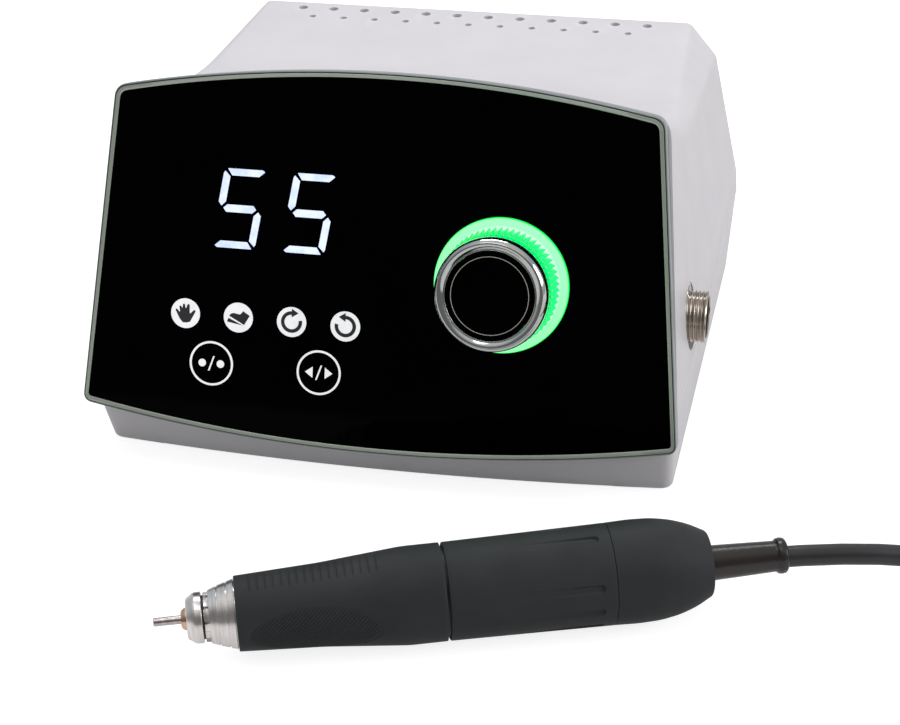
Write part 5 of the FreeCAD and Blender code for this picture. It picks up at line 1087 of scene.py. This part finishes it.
def fluted_skirt():
    """Lit skirt: saw-toothed ribs on a cone, which run out into a plain band at its top.

    Radius = crest less a rib depth times a share that falls from 1 to 0 in the first eighth of a rib
    and grows back to 1 over the rest; the crest falls from 17.75 to 16.8 mm and the depth from
    1.4 mm to nothing below the band.
    """
    columns = FLUTES * FLUTE_COLUMNS
    angle = turn_steps(columns)[None, :]
    part = (np.arange(columns) / FLUTE_COLUMNS) % 1.0
    share = np.where(part < 0.125, 1.0 - 8.0 * part, (part - 0.125) / 0.875)[None, :]
    along = np.array((1.9, 1.95, 4.0, 6.5, 9.0, 10.2, 10.9, 11.2, 12.4, 12.5))[:, None]
    crest = np.interp(along, (1.9, 12.5), (17.75, 16.8))
    depth = np.interp(along, (1.9, 4.0, 9.0, 10.9, 11.2), (1.4, 1.1, 0.7, 0.25, 0.0))
    radius = crest - depth * share
    radius[-1] = 16.6
    outer = KNOB.turned(along, radius, angle)
    inner = KNOB.spun(((12.5, 14.7), (11.0, 14.7), (1.9, 14.7)), angle)
    mesh = grid_mesh("knob_ribs", [np.concatenate((outer, inner))], wrap_rows=True, crease=20)
    web = rod_mesh(KNOB, 10.6, 12.5, 14.75, 96)
    whole = merged("knob_ribs", [mesh, web], 20)
    new_object("knob_ribs", whole, "knob", SKIRT_GREEN, ("knob_skirt",))


def bead_row():
    """Small beads in a ring below the rim, one above each rib."""
    turn, lift = np.meshgrid(turn_steps(8), np.radians(np.linspace(-80, 80, 5)))
    ring = 0.3 * np.stack((np.sin(lift), np.cos(lift) * np.cos(turn), np.cos(lift) * np.sin(turn)), -1)
    sheets = []
    for angle in turn_steps(FLUTES):
        centre = KNOB.turned(np.array(11.5), np.array(16.86), np.array(angle))
        sheets.append(centre + ring @ np.stack((KNOB.x, KNOB.y, KNOB.z)))
    mesh = grid_mesh("knob_beads", sheets, crease=60)
    new_object("knob_beads", mesh, "knob", BEAD_METAL)


def make_knob():
    """Halo, ribbed skirt, beads, shadow gap, stepped chrome rim, black cap and its thin circle."""
    lathe(
        "halo", KNOB, ((0.0, 16.3), (1.15, 16.3), (1.2, 18.4), (1.1, 20.15), (0.0, 20.35), (0.0, 16.3)),
        "unit", HALO_GLOW_AND_HIGHLIGHT, ("halo_ring",), radii=0.2, around=144,
    )
    fluted_skirt()
    bead_row()
    # Near-black ring under the rim: painted shade in the groove between skirt and rim.
    lathe(
        "knob_gap_shade", KNOB, ((12.3, 14.5), (12.3, 16.2), (13.2, 15.9), (13.2, 14.5), (12.3, 14.5)),
        "knob", PAINTED_GAP_SHADE, radii=0.02, around=120,
    )
    lathe(
        "chrome_rim", KNOB,
        (
            (13.0, 13.15), (13.0, 15.3), (13.5, 16.0), (14.9, 16.75), (18.3, 16.6), (19.7, 15.4),
            (19.5, 14.5), (18.95, 13.7), (18.7, 13.62), (18.7, 13.5), (18.95, 13.4), (19.0, 13.28),
            (18.85, 13.14), (17.0, 13.14), (13.0, 13.15),
        ),
        "knob", CHROME, ("knob_rim",),
        radii=(0, 0.1, 1.0, 2.5, 2.4, 0.9, 2.0, 0.1, 0.05, 0.05, 0.08, 0.08, 0.1, 0, 0), around=144, steps=8,
    )
    lathe(
        "cap_disc", KNOB, ((13.1, 13.07), (18.9, 13.07), (19.05, 12.85), (19.07, 6.0), (19.07, 0.0)),
        "knob", GLASS_BLACK, ("knob_cap",), radii=0.1, around=120,
    )
    lathe(
        "cap_circle", KNOB, ((19.03, 11.3), (19.11, 11.3), (19.11, 11.5), (19.03, 11.5), (19.03, 11.3)),
        "knob", LINE_GREY, radii=0.01, around=144, steps=2,
    )


make_knob()


# socket
def threaded_barrel():
    """Nickel socket: flange, a thread of five turns, a chamfered lip and its bore.

    Outside radius = 8.1 less 0.25 * (1 - cos(2 pi (along / pitch - turn))), faded at both ends.
    """
    angle = turn_steps(144)[None, :]
    along = np.linspace(0.3, 6.0, 81)[:, None]
    phase = (along - 0.3) / 1.12 * 2 * math.pi - angle
    fade = np.interp(along, (0.3, 0.7, 5.6, 6.0), (0, 1, 1, 0))
    thread = SOCKET.turned(along, 8.1 - 0.25 * fade * (1 - np.cos(phase)), angle)
    before = ((-2.9, 8.0), (0.0, 8.0), (0.0, 9.2), (0.05, 9.3), (0.2, 9.3), (0.3, 9.2), (0.3, 8.3))
    before = SOCKET.spun(before, angle)
    after = SOCKET.spun(((6.1, 8.15), (6.4, 7.9), (6.4, 7.1), (6.1, 6.75), (-2.9, 6.75)), angle)
    mesh = grid_mesh("socket_thread", [np.concatenate((before, thread, after))], wrap_rows=True, crease=35)
    new_object("socket_thread", mesh, "unit", NICKEL, ("handpiece_socket",))


threaded_barrel()


# handpiece
def grip_radius(along):
    """The grip's outline: a slow taper that swells towards the motor."""
    line = rounded(((-57.9, 10.3), (-34.0, 11.5), (-11.0, 13.6), (-1.2, 13.6)), (0, 110, 40, 0), 12)
    return np.interp(along, line[:, 0], line[:, 1])


def smooth_step(value):
    """0 below 0, 1 above 1 and an S curve between."""
    value = np.clip(value, 0, 1)
    return value * value * (3 - 2 * value)


def grip_relief(along, angle):
    """Depth of the grip's relief: cross-knurled ovals on both sides and ribs above and below.

    The ovals are where (along + 36.5)^2 / 17.75^2 + (angle - 94)^2 / 36^2 is under 1, in mm and
    degrees; their diamonds are two triangle waves, one shallower. The ribs are 17 grooves.
    """
    side = np.abs((angle + 180) % 360 - 180)
    ring = np.hypot((along + 36.5) / 17.75, (side - 94.0) / 36.0)
    inside = smooth_step((1.0 - ring) / 0.05)
    arc = np.radians(side - 94.0) * 11.4
    pitch = 1.15
    first = np.abs(((along + arc) / pitch) % 1.0 - 0.5) * 2
    second = np.abs(((along - arc) / pitch) % 1.0 - 0.5) * 2
    diamonds = 0.3 * np.maximum(1 - 1.9 * first, 0.6 - 1.5 * second).clip(0)
    rim = 0.22 * np.exp(-((ring - 1.0) / 0.03) ** 2)
    upper = np.minimum(side, 180 - side)
    reach = smooth_step((21.0 + 0.07 * (-17.5 - along) - upper) / 3.5)
    rib = np.maximum(0, np.cos(2 * math.pi * (along + 53.2) / 2.16)) ** 2
    span = smooth_step((along + 54.3) / 0.6) * smooth_step((-17.5 - along) / 0.6)
    return inside * (0.1 + diamonds) + rim + 0.26 * rib * reach * span


def make_grip():
    """Grip sleeve as radius over (along, angle), closed at its ends by its walls and bore."""
    along = np.concatenate((np.linspace(-57.0, -17.4, 250), np.linspace(-16.8, -0.65, 20)))
    near = np.linspace(54.0, 134.0, 108)
    below = np.linspace(135, 225, 52)
    degrees = np.concatenate((np.linspace(-53, 53, 60), near, below, near[::-1] * -1 + 360))
    angle = np.radians(degrees)[None, :]
    body = grip_radius(along)[:, None] - grip_relief(along[:, None], degrees[None, :])
    sheet = np.concatenate((
        HAND.spun(((-57.2, 9.2), (-57.2, 10.1)), angle),
        HAND.turned(along[:, None], body, angle),
        HAND.spun(((-0.45, 13.5), (-0.4, 13.3), (-0.4, 13.1), (-1.1, 13.05), (-1.2, 11.0)), angle),
    ))
    mesh = grid_mesh("grip", [sheet], wrap_rows=True, crease=40)
    new_object("grip", mesh, "grip", GRIP_BLACK, ("grip_sleeve",))


def flute_relief(along, angle):
    """Depth of the motor sleeve's flutes: they deepen backwards and end in a half round."""
    depth = np.zeros(np.broadcast_shapes(along.shape, angle.shape))
    for k in range(12):
        if k == 1:
            continue
        centre = 10.0 + 30.0 * k
        across = np.radians((angle - centre + 180) % 360 - 180) * 14.0
        end = np.maximum(0, along - 41.4)
        reach = np.hypot(across, end)
        shape = smooth_step((1.25 - reach) / 0.5)
        grow = np.interp(along, (14.5, 42.6), (0, 1))
        depth += 0.68 * shape * grow ** 1.3
    return depth


def make_motor_sleeve():
    """Motor sleeve as radius over (along, angle), with its flutes and its ends' small rounds."""
    along = np.concatenate((np.linspace(0.6, 40.0, 48), np.linspace(40.2, 43.4, 17), (44.0, 45.5)))
    degrees = np.linspace(0, 360, 420, endpoint=False)
    angle = np.radians(degrees)[None, :]
    body = np.interp(along, (0.6, 45.8), (13.6, 14.2))[:, None]
    body = body - flute_relief(along[:, None], degrees[None, :])
    before = ((45.92, 12.4), (0.7, 12.4), (0.6, 13.05), (0.35, 13.1), (0.35, 13.35), (0.42, 13.5))
    sheet = np.concatenate((
        HAND.spun(before, angle),
        HAND.turned(along[:, None], body, angle),
        HAND.spun(((45.85, 14.15), (45.92, 14.05)), angle),
    ))
    mesh = grid_mesh("motor_case", [sheet], wrap_rows=True, crease=40)
    new_object("motor_case", mesh, "handpiece", GRIP_BLACK, ("motor_sleeve",))


def steel_body():
    """Steel housing: slotted front edge, three bands on a cone up to the grip, its tube and the seam's ring.

    The slotted stretch has six lands 18 degrees wide; beside each the radius drops by 1.4 mm, and
    by 0.7 mm between them.
    """
    degrees = np.linspace(0, 360, 480, endpoint=False)
    spot = np.abs((degrees - 50) % 60 - 30)
    slot = smooth_step((spot - 9.0) / 1.4) * (0.5 + 0.5 * smooth_step((14.5 - spot) / 1.5))
    rows = np.array((
        (-65.8, 4.4, 0), (-65.8, 5.4, 0), (-65.8, 6.7, 1), (-65.7, 6.85, 1), (-64.55, 6.95, 1),
        (-64.5, 6.97, 0), (-64.4, 7.3, 0), (-62.2, 8.1, 0), (-62.1, 7.85, 0), (-61.9, 7.9, 0),
        (-61.8, 8.32, 0), (-59.6, 8.92, 0), (-59.5, 8.65, 0), (-59.3, 8.7, 0),
        (-59.2, 9.12, 0), (-57.5, 9.6, 0), (-57.4, 9.5, 0), (-57.4, 9.1, 0),
        (-1.0, 9.1, 0), (-0.9, 12.0, 0), (-0.7, 12.3, 0), (0.3, 12.3, 0), (0.5, 12.1, 0), (0.55, 11.9, 0),
        (8.0, 11.9, 0), (8.0, 7.1, 0), (-64.2, 7.1, 0), (-64.2, 4.4, 0),
    ))
    along, radius, share = rows[:, :1], rows[:, 1:2], rows[:, 2:]
    surface = HAND.turned(along, radius - share * slot * (radius - 5.45), np.radians(degrees)[None, :])
    mesh = grid_mesh("steel_nose", [surface], wrap_rows=True, crease=35)
    new_object("steel_nose", mesh, "handpiece", STEEL, ("steel_housing",))


def make_chuck():
    """Collet with its draw bar; three slits sink 0.8 mm into the nose's front and side."""
    degrees = np.linspace(0, 360, 180, endpoint=False)
    spot = np.abs(degrees % 120 - 60)
    slit = smooth_step((0.42 - np.radians(spot) * 2.6) / 0.2)
    rows = np.array((
        (-8.0, 1.25, 0, 0), (-71.9, 1.25, 0, 0), (-72.2, 1.5, 1, 0), (-72.2, 2.0, 1, 0),
        (-71.9, 2.6, 0.6, 0.6), (-71.2, 3.05, 0, 1), (-70.35, 3.1, 0, 1), (-70.3, 2.9, 0, 0),
        (-42.0, 2.9, 0, 0), (-42.0, 1.5, 0, 0),
        (-12.0, 1.5, 0, 0), (-12.0, 2.8, 0, 0), (-8.0, 2.8, 0, 0),
    ))
    along, radius, back, inward = (rows[:, k:k + 1] for k in range(4))
    sunk = 0.8 * slit
    surface = HAND.turned(along + back * sunk, radius - inward * sunk, np.radians(degrees)[None, :])
    mesh = grid_mesh("chuck_jaws", [surface], wrap_rows=True, crease=35)
    new_object("chuck_jaws", mesh, "chuck", BRONZE, ("collet",))


def make_handpiece():
    """Turned pieces from the test shank back to the strain relief."""
    lathe(
        "test_pin", HAND, ((-79.7, 0.0), (-79.7, 1.0), (-79.5, 1.175), (-48.0, 1.175), (-48.0, 0.0)),
        "test_shank", SHANK_STEEL, ("shank",), radii=0.08, around=48,
    )
    lathe(
        "nose_cap", HAND,
        (
            (-66.35, 4.3), (-70.6, 4.3), (-70.7, 4.45), (-70.7, 5.2), (-70.5, 5.6), (-68.7, 6.85),
            (-68.2, 7.0), (-66.5, 7.05), (-66.35, 6.9), (-66.35, 4.3),
        ),
        "handpiece", STEEL, ("nose_ring",),
        radii=(0, 0.05, 0.05, 0.2, 0.3, 0.5, 0.3, 0.1, 0.1, 0), around=120,
    )
    for name, front, rear, inside, outside in (
        ("nose_shadow", -66.4, -65.75, 4.4, 6.0), ("seam_shadow", -0.41, 0.36, 11.6, 12.42),
    ):
        ring = ((front, inside), (front, outside), (rear, outside), (rear, inside), (front, inside))
        lathe(name, HAND, ring, "handpiece", PAINTED_GAP_SHADE, radii=0.02, around=96, steps=2)
    lathe(
        "tail_cap", HAND,
        (
            (46.02, 9.0), (46.02, 14.05), (46.1, 14.2), (52.5, 14.42), (59.0, 14.2), (64.4, 13.2),
            (69.2, 11.6), (73.6, 9.25), (73.9, 8.9), (73.9, 4.2), (71.0, 4.2), (71.0, 9.0), (46.02, 9.0),
        ),
        "handpiece", GRIP_BLACK, ("rear_cap",),
        radii=(0, 0.05, 0.1, 40, 30, 25, 25, 0.3, 0.2, 0.2, 0, 0, 0), around=144, steps=8,
    )
    lathe(
        "cord_guard", HAND,
        (
            (66.0, 3.1), (66.0, 5.4), (71.5, 5.4), (71.5, 4.95), (76.0, 4.9), (92.6, 4.35), (93.1, 4.5),
            (93.5, 4.95), (94.5, 5.1), (95.5, 4.95), (96.0, 4.4), (96.1, 3.15), (66.0, 3.1),
        ),
        "handpiece", RELIEF_BLACK, ("strain_relief",),
        radii=(0, 0.1, 0.1, 0.1, 0.2, 0.3, 0.3, 0.5, 0.6, 0.5, 0.4, 0, 0), around=96,
    )


make_grip()
make_motor_sleeve()
steel_body()
make_chuck()
make_handpiece()


# plug
def make_plug():
    """Coupling ring with its fluted grip, the shell and its tail."""
    angle = turn_steps(144)[None, :]
    share = np.abs((np.arange(144) / 4.0) % 1.0 - 0.5)[None, :] * 2
    rows = np.array((
        (13.0, 7.45, 0), (13.0, 8.9, 0), (12.7, 9.25, 0), (11.9, 9.4, 0), (11.7, 9.4, 1), (3.0, 9.4, 1),
        (2.8, 9.4, 0), (0.5, 9.4, 0), (0.1, 9.1, 0), (0.0, 8.6, 0), (0.2, 8.3, 0), (10.0, 8.3, 0),
        (10.0, 7.45, 0),
    ))
    surface = PLUG.turned(rows[:, :1], rows[:, 1:2] - 0.4 * rows[:, 2:] * share, angle)
    mesh = grid_mesh("plug_collar", [surface], wrap_rows=True, crease=30)
    new_object("plug_collar", mesh, "plug_coupling", PLUG_NICKEL, ("plug_ring",))
    lathe(
        "plug_body", PLUG,
        (
            (28.0, 5.0), (12.0, 5.0), (12.0, 6.4), (1.5, 6.4), (1.5, 7.4), (8.4, 7.4), (8.4, 8.0),
            (9.9, 8.0), (9.9, 7.4), (13.1, 7.4), (13.1, 8.0), (17.0, 8.0), (17.3, 7.6), (18.0, 7.6),
            (18.3, 8.0), (28.5, 8.0), (30.0, 7.2),
            (31.0, 5.8), (40.2, 5.4), (41.0, 4.8), (41.0, 3.1), (28.0, 3.1), (28.0, 5.0),
        ),
        "handpiece", PLUG_NICKEL, ("plug_shell",), radii=0.25, around=96,
    )


make_plug()
metres(HAND.at(96, 0, 0)).tolist()


# the pieces that keep the frame's own shapes
FINISHES = {
    "case_plastic": SHELL_GREY, "rubber_black": RUBBER, "steel": ZINC, "panel_gloss": GLASS_BLACK,
    "chrome_trim": CHROME,
    "black_plastic": BLACK_PLASTIC, "board": BOARD_GREEN, "white_light": ICON_WHITE,
    "green_light": SKIRT_GREEN, "nickel": NICKEL, "brass": BRASS, "plate_paint": PLATE_PAINT,
    "fuse_glass": FUSE_GLASS, "aluminium": ALUMINIUM,
    "core_wrap": WINDING, "magnet_iron": IRON, "grip_black": GRIP_BLACK, "cord_black": CORD_BLACK,
}
OWN_FINISHES = {
    "collet": BRONZE, "spindle": STEEL, "bearings": STEEL, "cam_ring": STEEL, "chuck_spring": ZINC,
    "socket_insert": SOCKET_BROWN, "plug_insert": SOCKET_BROWN, "cord_tie": TIE_BLACK,
}


def dress_nodes():
    """Give every node of the frame the finish of its slot, or its own."""
    for row in frame["record"]["subparts"]:
        finish = OWN_FINISHES.get(row["node"], FINISHES[row["material_slot"]])
        for place in frame["nodes"][row["node"]].material_slots:
            place.material = finish


dress_nodes()
for rear_piece, edge, finish in (
    ("rear_plate", 0.3, PLATE_PAINT), ("power_inlet", 0.35, BLACK_PLASTIC),
    ("fuse_drawer", 0.25, BLACK_PLASTIC),
    ("rocker_frame", 0.3, BLACK_PLASTIC), ("rocker", 0.4, BLACK_PLASTIC), ("foot_jack", 0.2, BLACK_PLASTIC),
    ("foot_pads", 0.5, RUBBER),
):
    softened(rear_piece, edge, finish)


# studio
FLOOR_GLOW = 0.82


def make_floor():
    """A wide pale floor: it takes the object's shadow, and its own glow makes it white to the eye."""
    across = np.linspace(-3.0, 3.0, 5)
    x, y = np.meshgrid(across, across)
    mesh = bpy.data.meshes.new("floor")
    corners = np.stack((x, y, 0 * x), -1).reshape(-1, 3)
    mesh.from_pydata(corners.tolist(), [], grid_faces(5, 5, False, False).tolist())
    floor = bpy.data.objects.new("floor", mesh)
    bpy.context.scene.collection.objects.link(floor)
    material = bpy.data.materials.new("floor_paper")
    material.use_nodes = True
    tree = material.node_tree
    tree.nodes.remove(tree.nodes["Principled BSDF"])
    place = add(tree, "ShaderNodeTexCoord").outputs["Object"]
    tone = ramp(tree, noise(tree, place, 3.0), (0.3, (174, 174, 175)), (0.7, (178, 178, 179)))
    paper = add(tree, "ShaderNodeBsdfDiffuse", {"Color": tone})
    seen = add(tree, "ShaderNodeLightPath").outputs
    eye = maths(tree, "MULTIPLY", seen["Is Camera Ray"], FLOOR_GLOW)
    both = add(tree, "ShaderNodeMath", {
        0: seen["Is Glossy Ray"], 1: FLOOR_GLOW * 0.5, 2: eye,
    }, operation="MULTIPLY_ADD")
    glow = add(tree, "ShaderNodeEmission", {"Color": (1, 1, 1, 1), "Strength": both.outputs["Value"]})
    whole = add(tree, "ShaderNodeAddShader", {0: paper.outputs[0], 1: glow.outputs[0]})
    tree.links.new(whole.outputs[0], tree.nodes["Material Output"].inputs["Surface"])
    mesh.materials.append(material)


def make_world():
    """White to the eye; softly lit from above for surfaces, and for reflections dark in front below."""
    world = bpy.data.worlds.new("studio")
    world.use_nodes = True
    bpy.context.scene.world = world
    tree = world.node_tree
    for node in list(tree.nodes):
        if node.bl_idname != "ShaderNodeOutputWorld":
            tree.nodes.remove(node)
    way = add(tree, "ShaderNodeTexCoord").outputs["Generated"]
    parts = add(tree, "ShaderNodeSeparateXYZ", {"Vector": way}).outputs
    height = share_between(tree, parts["Z"], -0.2, 1.0)
    soft = ramp(tree, height, (0.0, 0.3), (0.25, 0.42), (0.6, 0.62), (1.0, 0.7))
    cool = (0.42, 0.5, 0.56, 1)
    front_dark = ramp(tree, height, (0.0, 0.16), (0.7, 0.18), (0.85, 0.6), (1.0, 0.75))
    all_round = ramp(tree, height, (0.0, 0.5), (0.4, 0.5), (0.7, cool), (0.9, 0.7), (1.0, 0.75))
    front = share_between(tree, parts["Y"], -0.1, -0.6, interpolation_type="SMOOTHSTEP")
    mirror = mix(tree, front, all_round, front_dark)
    white, diffuse, glossy = (
        add(tree, "ShaderNodeBackground", {"Color": tone, "Strength": 1.0}).outputs[0]
        for tone in ((1, 1, 1, 1), soft, mirror)
    )
    seen = add(tree, "ShaderNodeLightPath").outputs
    first = add(tree, "ShaderNodeMixShader", {0: seen["Is Glossy Ray"], 1: diffuse, 2: glossy})
    second = add(tree, "ShaderNodeMixShader", {0: seen["Is Camera Ray"], 1: first.outputs[0], 2: white})
    tree.links.new(second.outputs[0], tree.nodes["World Output"].inputs["Surface"])


def soft_box(name, place, target, size, power, colour=(1, 1, 1)):
    """An area light in mm that looks from its place at a target."""
    data = bpy.data.lights.new(name, "AREA")
    data.shape = "RECTANGLE"
    data.size, data.size_y = (s / 1000 for s in size)
    data.energy = power
    data.color = colour
    lamp = bpy.data.objects.new(name, data)
    start = Vector(metres(place).tolist())
    lamp.location = start
    lamp.rotation_euler = (Vector(metres(target).tolist()) - start).to_track_quat("-Z", "Y").to_euler()
    bpy.context.scene.collection.objects.link(lamp)


make_floor()
make_world()
VIOLET_WHITE = (0.95, 0.94, 1.0)
soft_box("key_light", (-150, 800, 1150), (0, 60, 50), (750, 220), 5.0, VIOLET_WHITE)
soft_box("front_key_light", (-150, -200, 1250), (0, 60, 50), (750, 160), 1.3, VIOLET_WHITE)
soft_box("side_light", (1200, -60, 600), (60, 60, 60), (500, 600), 5.2)
bpy.context.scene.view_settings.view_transform = "Standard"
